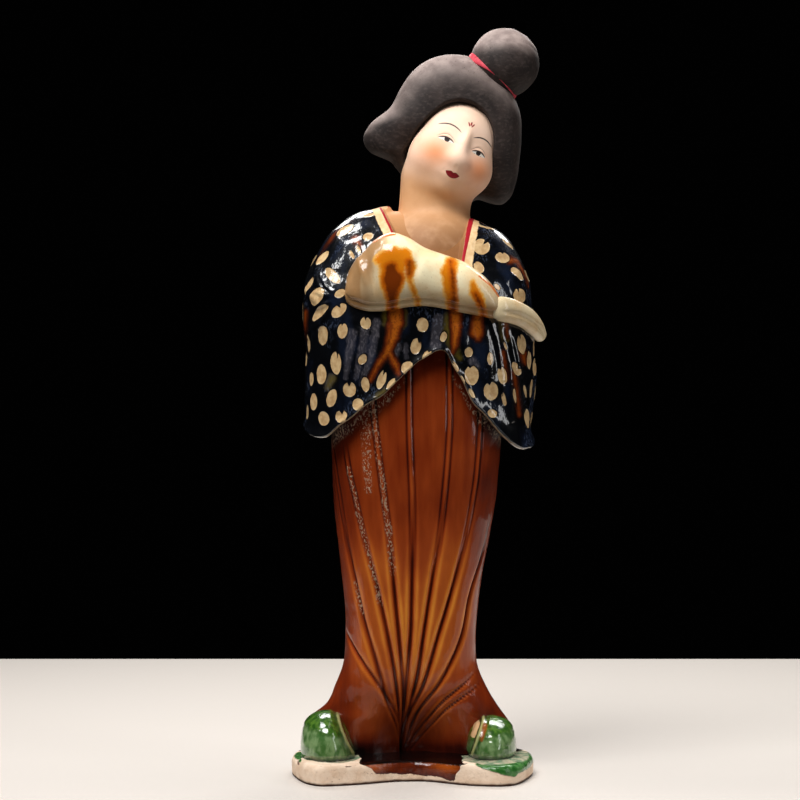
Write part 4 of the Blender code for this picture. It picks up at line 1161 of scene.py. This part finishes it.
def ribbon_rings():
    """Points of the ribbon in metres: a ring round the bun's root, wider where it shows."""
    root, tip, axis, aside, behind = bun_axes()
    turn = round_turn(RIBBON_ROWS)[:, None, None]
    out = np.cos(turn) * aside + np.sin(turn) * behind
    degrees = np.degrees(np.arctan2(np.sin(turn), np.cos(turn)))
    tube = through(degrees, RIBBON_TUBE)
    round_it = round_turn(RIBBON_COLUMNS)[:, None]
    middle = root + (tip - root) * (RIBBON_SHARE + RIBBON_LEAN * np.cos(turn)) + RIBBON_RADIUS * out
    points = middle + tube * (0.55 * np.cos(round_it) * out + 1.3 * np.sin(round_it) * axis)
    return to_metres(points)


# %% [markdown]
# ## Clay
# Fired clay is matt, pinkish beige and a little stained, with pinholes. Glaze lies on it where
# the runs ended, so the same material turns glossy inside the runs. Their edges are distances:
# the tongue in front lies between a left edge, a right edge and a ragged lower one. A dark line
# at the foot is painted contact shadow over a brown glaze line, and a few pits at the left are
# chips.

# %% Base piece
TONGUE_LEFT = (  # height, x
    (-12, -19), (-6.4, -21.5), (-1.6, -26.8), (0.5, -32.7), (3, -33.5))
TONGUE_RIGHT = ((-12, 24), (-9.5, 24.7), (-5.7, 25.3), (-3.1, 27.6), (0.1, 30.5), (1, 35))
TONGUE_LOW = (  # x, height
    (-26, -6.4), (-21.5, -6.4), (-16, -6.8), (-7.5, -7), (-1.6, -7.4), (4, -8.3), (16, -8.6),
    (21, -9.9), (25, -9.8))
RUN_LOW = ((33, 1.5), (38, -0.4), (41.6, -2.1), (45, -2.8), (51, -4.8), (57, -6.4), (60, -6.8),
           (62.6, -5.6), (66, -5.1), (69.5, -5.6), (73, -4.0))
SKIRT_FOOT = ((-2.0, 18.0), (64.0, 27.0))    # middle and half sizes in the plan
PITS = (  # x, height, half width, from point to point
    (-38.4, -0.2, 1.2, -36.8, -0.4, 1.0), (-45.5, -6.6, 0.6, -45.2, -6.8, 0.6),
    (-68.0, -2.0, 0.6, -67.6, -2.2, 0.6))


def oval_gap(x, y, middle, half, fullness=1.0):
    """Rough distance outside a superellipse in the plan."""
    u, v = np.abs(x - middle[0]) / half[0], np.abs(y - middle[1]) / half[1]
    return ((u ** (2 / fullness) + v ** (2 / fullness)) ** (fullness / 2) - 1) * min(half)


def base_fields(rings):
    """Signed distances to the amber and the green runs, in parts."""
    x, y = rings[..., 0] / PART, rings[..., 1] / PART
    height = (rings[..., 2] - BASE_THICKNESS) / PART
    tongue = np.minimum.reduce((x - through(height, TONGUE_LEFT), through(height, TONGUE_RIGHT) - x,
                                height - through(x, TONGUE_LOW), -y))
    rim = 2.4 - oval_gap(x, y, *SKIRT_FOOT, SKIRT_FULLNESS)
    rim = np.where(height > -2, rim, -9.0)
    left, right = (oval_gap(x, y, shoe[:2], (shoe[3], SHOE_HALF_DEPTH)) for shoe in SHOES)
    run = np.minimum.reduce((height - through(x, RUN_LOW), x - 34, 6 - y))
    pool = np.where(height > -2, 7.0 - right, -9.0)
    stain = np.where(height > -1, 3.0 - left - 3.0 * smooth(x, -44, -60), -9.0)
    corner = np.minimum.reduce((height + 1.2, -66.0 - x, 4 - y))
    green = np.maximum.reduce((run, pool, stain, corner))
    glow = (bell(x + 24, 7) + bell(x - 20, 8)) * smooth(height, -7, -3)
    pits = stroke(x, height, PITS) + np.where((y < -56) | (height < -0.5), 0, -FAR)
    return dict(amber=np.maximum(tongue, rim), green=green, glow=glow, top=height, pits=pits,
                thin=np.maximum(np.minimum(pool + 1, height + 1.0), np.minimum(stain, height + 1.0)))


def clay_finish():
    """Bare clay with glossy runs of amber and green over it."""
    material, tree, shader = finish("bare clay", 0.85)
    speck = step(tree, grain(tree, 0.0011, detail=1.0), 0.70, 0.76)
    pit = step(tree, wobbled(tree, field(tree, "pits"), 0.002, 0.5), -0.5, 0.5)
    clay = mottled(tree, grain(tree, 0.009), 0.35, 0.7, (238, 214, 190), (222, 192, 164))
    clay = coats(tree, clay, (speck, (120, 86, 62), 0.6),
                 # painted contact shadow along the foot, over a brown glaze line
                 (step(tree, wobbled(tree, upright(tree), 0.004, 0.0005), 0.0021, 0.0008), (58, 32, 20)),
                 (pit, (92, 60, 42)))
    leaf = mottled(tree, grain(tree, 0.004), 0.3, 0.7, (34, 88, 32), (84, 134, 72))
    pale = mottled(tree, grain(tree, 0.006, seed=3.0), 0.4, 0.6, (126, 148, 118), (196, 186, 158))
    leaf = coats(tree, leaf, (step(tree, field(tree, "thin"), -0.3, 0.8), pale))
    amber = wobbled(tree, wobbled(tree, field(tree, "amber"), 0.004, 1.1), 0.0012, 0.5)
    brown = mottled(tree, amber, 0.2, 2.5, (70, 20, 12), (98, 36, 14))
    brown = coats(tree, brown, (step(tree, grain(tree, 0.005, (1, 1, 3)), 0.4, 0.75), (58, 18, 10)),
                  (field(tree, "glow"), (178, 84, 24), 0.7),
                  # near black on the top face: pooled glaze with painted shadow under the skirt's edge
                  (step(tree, field(tree, "top"), -1.6, -0.4), (9, 5, 5)))
    is_amber = step(tree, amber, -0.1, 0.15)
    is_green = step(tree, wobbled(tree, field(tree, "green"), 0.006, 1.2), -0.2, 0.5)
    glazed = count(tree, "MAXIMUM", is_amber, is_green)
    tree.links.new(count(tree, "MULTIPLY_ADD", glazed, -0.76, 0.86), shader.inputs["Roughness"])
    pits = count(tree, "MULTIPLY_ADD", count(tree, "MAXIMUM", speck, pit), -0.8, grain(tree, 0.002))
    height = count(tree, "MULTIPLY_ADD", glazed, 1.2, pits)
    covered(tree, shader, coats(tree, clay, (is_green, leaf), (is_amber, brown)), height, 0.0003)
    return material


rings = base_rings()
closed_form("base", rings, clay_finish(), base_fields(rings))

# %% [markdown]
# ## Amber glaze
# Lead glaze with iron is a coloured glass: golden where it is thin, red-brown where it is
# thicker, and nearly black where it pooled in grooves and at the foot. So one number, how thick
# the glaze is, is worked out on the points, and a colour ramp turns it into the colour of the glass.
# The same number carries painted shade: a painted shadow under the robe's hem, and painted
# shade towards the sides and in the hollow between the shoes.
# A smooth coat gives the sharp highlights. Blistered glaze left pale crusts along two pleats.

# %% Skirt piece
THIN_BAND = (28, 58, 96, 158)    # heights between which the glaze is thin
HEM_PATCH = ((-29, 215, 3.0, -26, 160, 1.5),)    # a crust that runs down from the hem
AMBER_RAMP = (  # thickness, display colour
    (0.0, (222, 136, 48)), (0.2, (192, 98, 34)), (0.42, (156, 66, 24)),
    (0.62, (118, 40, 12)), (0.82, (70, 20, 10)), (1.0, (16, 8, 7)))


def hem_over(x):
    """Height of the robe's hem over a point of the skirt's front, from the hem's curve."""
    left, right = ROBE_LEFT[0][1], ROBE_RIGHT[0][1]
    share = np.clip((x - (left + right) / 2) / ((right - left) / 2), -1, 1)
    return through(np.degrees(np.arcsin(power(share, 1 / ROBE_FULLNESS))), ROBE_HEM)


def skirt_glaze_and_shade(rings, fields):
    """How thick the glaze is, from 0 to 1, with painted shade in the same number: pools, height,
    painted shadow under the robe's hem, painted shade towards the sides and between the shoes,
    and clouds. Adds the crust at the hem to the fields."""
    x, depth, height = rings[..., 0] / PART, rings[..., 1] / PART, fields["height"]
    low0, low1, high0, high1 = THIN_BAND
    off = np.abs(x - 1)
    under = hem_over(x) - height
    front = 1 - smooth(depth, -14, 4)
    thin = smooth(height, low0, low1) * (1 - smooth(height, high0, high1))
    # painted shade: the thin band fades towards the sides
    thin *= 1 - 0.8 * smooth(off, 24, 46)
    thick = 0.55 - 0.24 * thin + 0.55 * fields["pool"] - 0.26 * fields["gold"]
    # painted shadow under the robe's hem, and painted shade towards the sides
    thick += 0.24 * (1 - smooth(under, -2, 16)) * front + 0.14 * smooth(off, 31, 44)
    glow = bell(x + 24, 9) * bell(height - 27, 13) + bell(x - 19, 9) * bell(height - 22, 11)
    # dark foot between the shoes: pooled glaze, with painted shade in the hollow
    pool = 0.7 * bell(x + 4, 38) * (1 - smooth(height, 4, 15))
    pool += 0.35 * bell(x + 5, 9) * (1 - smooth(height, 8, 34))
    thick += (pool - 0.2 * glow) * front + 0.25 * (1 - smooth(height, 0, 10))
    hem_crust = np.abs(under - 4.5) * 0.42 + 0.2 + 2.4 * bell(x - 8, 18)
    hem_crust = np.minimum(hem_crust, 1.3 - np.minimum(stroke(x, height, HEM_PATCH), 0))
    fields["crust"] = np.minimum(fields["crust"], hem_crust + 0.3 * np.clip(depth + 16, 0, FAR))
    return thick + 0.09 * cloud(rings, 0.016, 71) + 0.05 * cloud(rings * (1, 1, 0.25), 0.004, 72)


def amber_finish():
    """Amber glass over clay, with crusts."""
    material, tree, shader = finish("amber glaze", 0.35, 0.6, 0.06, AMBER_IOR)
    streaks = grain(tree, 0.0025, (1, 1, 9), detail=2.0)
    # the stored number holds the glaze's thickness together with painted shade
    thin = count(tree, "SUBTRACT", field(tree, "thick"), 0.06)
    ramp = add(tree, "ValToRGB", {0: count(tree, "MULTIPLY_ADD", streaks, 0.12, thin)})
    elements = ramp.color_ramp.elements
    while len(elements) < len(AMBER_RAMP):
        elements.new(0.5)
    for element, (place, colour) in zip(elements, AMBER_RAMP):
        element.position = place
        element.color = shade(*colour)
    crumbs = step(tree, grain(tree, 0.0010, (1, 1, 1.6), detail=2.0), 0.50, 0.60)
    near = step(tree, wobbled(tree, field(tree, "crust"), 0.006, 1.6), 2.6, 0.6)
    crust = count(tree, "MULTIPLY", crumbs, near)
    colour = coats(tree, ramp.outputs[0], (crust, (184, 156, 128), 0.75))
    height = count(tree, "MULTIPLY_ADD", crust, 1.5, grain(tree, 0.0022, (1, 1, 3)))
    covered(tree, shader, colour, height, 0.00016)
    return material


rings, fields = skirt_rings()
glaze_and_shade = skirt_glaze_and_shade(rings, fields)
closed_form("skirt", rings, amber_finish(),
            dict(thick=glaze_and_shade, crust=fields["crust"]))

# %% [markdown]
# ## Blue-black glaze
# Cobalt glaze this thick is almost black, and it shows blue only where light falls straight on
# it or where it ran thin. Amber and olive runs come down from the sleeves. The spots are bare
# clay under the clear coat. The band at the neck stayed cream, with a painted red line.

# %% Robe piece
def blue_finish():
    """Blue-black glass with bare spots, runs and the band round the neck."""
    material, tree, shader = finish("blue glaze", 0.34, coat=1.0)
    dust = step(tree, grain(tree, 0.0011, (1, 1, 2), detail=2.0), 0.48, 0.66)
    silver = step(tree, wobbled(tree, field(tree, "silver"), 0.005, 1.2), -1.4, 0.8)
    bloom = step(tree, grain(tree, 0.016, (1, 1, 1.5), seed=5.0), 0.52, 0.68)
    run = wobbled(tree, wobbled(tree, field(tree, "orange"), 0.004, 0.9), 0.0014, 0.4)
    speck = step(tree, grain(tree, 0.0012, detail=1.0), 0.45, 0.70)
    rust = mottled(tree, run, 0.2, 2.4, (112, 44, 12), (178, 92, 22))
    edge = wobbled(tree, field(tree, "spots"), 0.0022, 0.35)
    bare = mottled(tree, grain(tree, 0.003), 0.35, 0.7, (214, 182, 134), (188, 150, 104))
    is_bare = step(tree, edge, -0.12, 0.15)
    up = wobbled(tree, field(tree, "up"), 0.003, 0.5)
    neck = field(tree, "neck")
    band = step(tree, wobbled(tree, neck, 0.0035, 0.9), -7.0, -6.4)
    cream = mottled(tree, grain(tree, 0.004), 0.3, 0.7, (228, 198, 154), (214, 176, 128))
    olive = step(tree, wobbled(tree, field(tree, "olive"), 0.004, 1.2), -2.4, 1.8)
    red = step(tree, wobbled(tree, field(tree, "red"), 0.004, 0.2), -0.15, 0.1)
    ink = mottled(tree, grain(tree, 0.013, (1, 1, 1.8)), 0.48, 0.74, (7, 8, 11), (19, 26, 42))
    colour = coats(tree, ink,
                   (silver, (96, 92, 100), 0.3),
                   (count(tree, "MULTIPLY", silver, dust), (128, 122, 126), 0.35),
                   (count(tree, "MULTIPLY", dust, bloom), (78, 88, 110), 0.5),
                   (olive, (92, 78, 24), 0.8),
                   (step(tree, run, -2.2, -0.4), (52, 20, 10)),
                   (step(tree, run, -0.9, 0.7), coats(tree, rust, (speck, (78, 30, 12), 0.55))),
                   (step(tree, edge, -1.0, -0.2), (8, 8, 12), 0.8),
                   (is_bare, bare),
                   (step(tree, up, 0.7, 0.1), (150, 128, 98)),
                   (step(tree, up, -0.2, -0.9), (30, 26, 26)),
                   (band, cream),
                   # the chest in the opening, darker downwards as painted shade
                   (step(tree, neck, -0.2, 0.1), shaded_skin(tree)),
                   (red, (158, 24, 38)))
    matt = count(tree, "MAXIMUM", is_bare, band)
    tree.links.new(count(tree, "MULTIPLY_ADD", matt, 0.25, 0.34), shader.inputs["Roughness"])
    tree.links.new(count(tree, "MULTIPLY_ADD", band, -1.0, 1.0), shader.inputs["Coat Weight"])
    height = count(tree, "MULTIPLY_ADD", is_bare, -0.4, grain(tree, 0.0042, (1, 1, 1.4)))
    covered(tree, shader, colour, height, 0.0003)
    return material


rings, fields = robe_rings()
closed_form("robe", rings, blue_finish(), fields)

# %% [markdown]
# ## Cream glaze with amber runs
# The sleeves are covered with a thin cream glaze with a soft sheen. Amber was laid on top and
# ran down, yellow at its edge and brown where it pooled. Shade is painted in as a darker tan
# where the sleeves turn away from the light, to the left, downwards and at both ends, and in
# the groove above the flange; the loose end is painted in that shade all over.

# %% Sleeve pieces
def cream_finish(name, has_runs):
    """Cream glaze with painted shade; the folded sleeves carry amber runs on it."""
    material, tree, shader = finish(name, 0.42, coat=0.5, coat_roughness=0.12)
    colour = mottled(tree, grain(tree, 0.012), 0.35, 0.7, (255, 240, 198), (246, 216, 166))
    speck = step(tree, grain(tree, 0.0009, detail=1.0), 0.66, 0.74)
    # painted shade, from the field on the folded sleeves and all over the loose end
    painted_shade = field(tree, "turned") if has_runs else 0.4
    colour = coats(tree, colour, (speck, (150, 112, 70), 0.35), (painted_shade, (152, 104, 56), 0.9))
    if has_runs:
        run = wobbled(tree, wobbled(tree, field(tree, "runs"), 0.005, 1.7), 0.0013, 0.9)
        core = wobbled(tree, wobbled(tree, field(tree, "cores"), 0.004, 1.2), 0.0012, 0.7)
        rim = wobbled(tree, field(tree, "rims"), 0.003, 0.3)
        colour = coats(tree, colour,
                       (step(tree, run, -1.6, 0.2), (236, 170, 62), 0.85),
                       (step(tree, run, -0.5, 1.6), (214, 122, 18)),
                       (step(tree, core, -2.2, 0.2), (186, 84, 10), 0.8),
                       (step(tree, core, -0.4, 1.8), (116, 48, 10)),
                       (step(tree, rim, -0.5, 0.3), (206, 104, 24)),
                       # painted shade in the groove above the flange
                       (field(tree, "under"), (150, 112, 66), 0.35))
        gloss = step(tree, run, -0.2, 0.8)
        tree.links.new(count(tree, "MULTIPLY_ADD", gloss, -0.3, 0.42), shader.inputs["Roughness"])
    covered(tree, shader, colour, grain(tree, 0.0016), 0.00008)
    return material


rings, fields = muff_rings()
closed_form("folded_sleeves", rings, cream_finish("cream glaze with runs", True), fields)
closed_form("sleeve_end", cuff_rings(), cream_finish("cream glaze", False))

# %% [markdown]
# ## Green glaze
# Copper green runs easily. It is thin and greyish on the upright wall of a toe, deep and mottled
# on the cap, and pale along the seam. Where it meets the base it is painted nearly black as
# contact shadow.

# %% Shoe pieces
def green_finish(name):
    """Mottled copper green glass."""
    material, tree, shader = finish(name, 0.3, coat=1.0)
    wall = mottled(tree, grain(tree, 0.004, (1, 1, 1.6)), 0.35, 0.68, (66, 104, 50), (122, 150, 100))
    cap = mottled(tree, grain(tree, 0.0032), 0.38, 0.66, (40, 80, 22), (80, 118, 40))
    seam = wobbled(tree, field(tree, "seam"), 0.003, 0.2)
    foot = wobbled(tree, field(tree, "height"), 0.003, 1.0)
    rust, bare = (wobbled(tree, field(tree, patch), 0.003, 0.6) for patch in ("rust", "bare"))
    colour = coats(tree, wall,
                   (step(tree, wobbled(tree, field(tree, "cap"), 0.004, 2.2), -1.6, 2.2), cap),
                   (step(tree, seam, -2.4, -1.2), (22, 44, 18), 0.6),
                   (step(tree, seam, -0.9, -0.1), (190, 190, 126), 0.8),
                   # painted contact shadow where the toe meets the base
                   (step(tree, foot, 3.0, 0.2), (18, 34, 16)),
                   (step(tree, rust, -0.8, 0.4), (140, 78, 30)),
                   (step(tree, bare, -0.1, 0.3), (226, 184, 136)))
    covered(tree, shader, colour, grain(tree, 0.0035), 0.0003)
    return material


for side, shoe, *marks in zip(("left", "right"), SHOES, SHOE_SEAMS, SHOE_BARE, SHOE_RUST):
    rings, fields = shoe_rings(*shoe, *marks)
    closed_form(f"shoe_{side}", rings, green_finish(f"green glaze {side}"), fields)

# %% [markdown]
# ## Cold paint
# Skin, brows, lips and hair are paint on bare clay, so they are matt. The skin is lighter on the
# face than on the neck, and it darkens down the neck and over the chest as painted shade under
# the chin. The blush fades out like a rubbed pigment.

# %% Head piece
def flesh_finish():
    """Painted skin with the lines, lips and blush of the face."""
    material, tree, shader = finish("painted flesh", 0.62)
    stains = step(tree, grain(tree, 0.01), 0.4, 0.7)
    eye, iris, lines, lips, mark = (field(tree, name)
                                    for name in ("eye", "iris", "lines", "lips", "mark"))
    colour = coats(tree, shaded_skin(tree),
                   (step(tree, field(tree, "level"), -33.0, -12.0), (255, 218, 192)),
                   (stains, (228, 182, 140), 0.25),
                   (field(tree, "blush"), (236, 142, 82), 0.85),
                   (step(tree, eye, -0.05, 0.15), (236, 226, 214)),
                   (step(tree, iris, -0.08, 0.1), (34, 20, 16)),
                   (step(tree, lines, -0.08, 0.1), (56, 34, 28)),
                   (step(tree, lips, -0.1, 0.12), (136, 16, 26)),
                   (step(tree, mark, -0.05, 0.12), (140, 20, 32)))
    covered(tree, shader, colour, grain(tree, 0.0012), 0.00004)
    return material


rings, fields = head_rings()
closed_form("head_and_neck", rings, flesh_finish(), fields)

# %% [markdown]
# ### Hair with painted sheen
# The hair's dark paint is painted grey where it faces up, as the sheen of the light from above.

# %% Hair pieces
TOP_SHEEN_SPAN = (0.06, 0.76)     # upward share of the normal, from dark to the painted sheen
BUN_TOP_SHEEN = 1.6               # the bun gets more painted sheen


def top_sheen_field(rings, strength=1.0):
    """How much painted sheen, from 0 to 1: where the surface faces up."""
    normal = grid_normal(rings)
    normal *= np.sign(np.sum(normal * (rings - rings.mean(axis=(0, 1)))))
    return np.minimum(strength * smooth(normal[..., 2], *TOP_SHEEN_SPAN), 1)


def hair_finish():
    """Dark matt paint, painted greyer where it faces up as a sheen, with specks."""
    material, tree, shader = finish("painted hair", 0.72)
    dark = mottled(tree, grain(tree, 0.010), 0.35, 0.7, (31, 22, 19), (47, 36, 32))
    top_sheen = mottled(tree, grain(tree, 0.008, seed=4.0), 0.3, 0.7, (124, 108, 103), (158, 141, 134))
    brushed = step(tree, grain(tree, 0.0016, (2, 1, 1), detail=4.0), 0.45, 0.75)
    speck = step(tree, grain(tree, 0.0011, detail=1.0), 0.69, 0.75)
    # painted sheen: the upward faces are painted grey as light from above
    colour = coats(tree, dark, (wobbled(tree, field(tree, "top_sheen"), 0.012, 0.12), top_sheen),
                   (brushed, (104, 90, 84), 0.25), (speck, (26, 20, 19), 0.5))
    covered(tree, shader, colour, grain(tree, 0.001, detail=4.0), 0.00012)
    return material


def ribbon_finish():
    """Rose red matt paint."""
    material, tree, shader = finish("painted ribbon", 0.6)
    tone = mottled(tree, grain(tree, 0.003), 0.3, 0.75, (214, 74, 88), (176, 34, 52))
    tree.links.new(tone, shader.inputs["Base Color"])
    return material


hair_paint = hair_finish()
rings = hair_rings()
closed_form("hair", rings, hair_paint, dict(top_sheen=top_sheen_field(rings)))
rings = bun_rings()
closed_form("bun", rings, hair_paint, dict(top_sheen=top_sheen_field(rings, BUN_TOP_SHEEN)))
closed_form("ribbon", ribbon_rings(), ribbon_finish(), endless=True)

# %% [markdown]
# ## Table, lights and camera
# The figure stands on a plain white table that ends in front of a dark room. A large soft light
# from the upper left models it, and a tall one at the right draws the long reflections on the
# skirt. Two small ones shine on the shoulder and the folds, and one behind lines the hair.
# Glazes show their lamps, so each lamp's size and place is a highlight's shape. The last two,
# one low in front and one over the table, only fill: no glaze mirrors them.

# %% Stage
TABLE = ((-0.38, -0.10), (0.60, 0.62))    # near left and far right corner, in metres
LAMPS = (  # name, place, what it looks at, size across and up in metres, watts
    ("key light", (-0.36, -0.66, 1.25), (0.02, 0.0, 0.33), 0.60, 0.60, 18.0),
    ("side light", (0.80, -0.45, 0.45), (0.0, 0.0, 0.20), 0.18, 0.80, 1.6),
    ("low light", (0.0, -0.62, -0.32), (0.0, 0.0, 0.18), 1.10, 0.50, 1.0),
    ("shoulder light", (-0.40, 0.06, 1.00), (-0.03, -0.03, 0.32), 0.30, 0.20, 2.4),
    ("fold light", (-0.62, -0.22, 0.85), (-0.05, -0.03, 0.28), 0.12, 0.20, 0.8),
    ("rim light", (0.10, 0.70, 0.80), (0.0, 0.0, 0.36), 0.90, 0.20, 6.0),
    ("table light", (0.55, 0.36, 1.50), (0.18, 0.10, 0.0), 1.40, 0.90, 13.5))
UNSEEN = ("low light", "table light")     # they light, and no glaze mirrors them
TABLE_COLOUR = (207, 199, 191)
ROOM = 0.0004                # brightness of the dark room
CAMERA_PLACE = (-0.0075, -1.41, 0.2253)   # metres
CAMERA_LENS = 105.0          # millimetres

(x0, y0), (x1, y1) = TABLE
mesh = bpy.data.meshes.new("table")
mesh.from_pydata([(x0, y0, 0), (x1, y0, 0), (x1, y1, 0), (x0, y1, 0)], [], [(0, 1, 2, 3)])
table = bpy.data.objects.new("table", mesh)
bpy.context.collection.objects.link(table)
material, tree, shader = finish("white table", 0.5)
shader.inputs["Base Color"].default_value = shade(*TABLE_COLOUR)
table.data.materials.append(material)

for name, place, target, across, upward, watts in LAMPS:
    lamp = bpy.data.lights.new(name, "AREA")
    lamp.shape = "RECTANGLE"
    lamp.size = across
    lamp.size_y = upward
    lamp.energy = watts
    holder = bpy.data.objects.new(name, lamp)
    holder.location = place
    holder.rotation_euler = (Vector(target) - Vector(place)).to_track_quat("-Z", "Y").to_euler()
    bpy.context.collection.objects.link(holder)
    holder.visible_glossy = name not in UNSEEN

world = bpy.data.worlds.new("dark room")
world.use_nodes = True
world.node_tree.nodes["Background"].inputs["Color"].default_value = (ROOM, ROOM, ROOM, 1)
bpy.context.scene.world = world
bpy.context.scene.view_settings.view_transform = "Standard"

camera = bpy.data.objects.new("camera", bpy.data.cameras.new("camera"))
camera.location = CAMERA_PLACE
camera.rotation_euler = (math.pi / 2, 0, 0)
camera.data.lens = CAMERA_LENS
bpy.context.collection.objects.link(camera)
bpy.context.scene.camera = camera
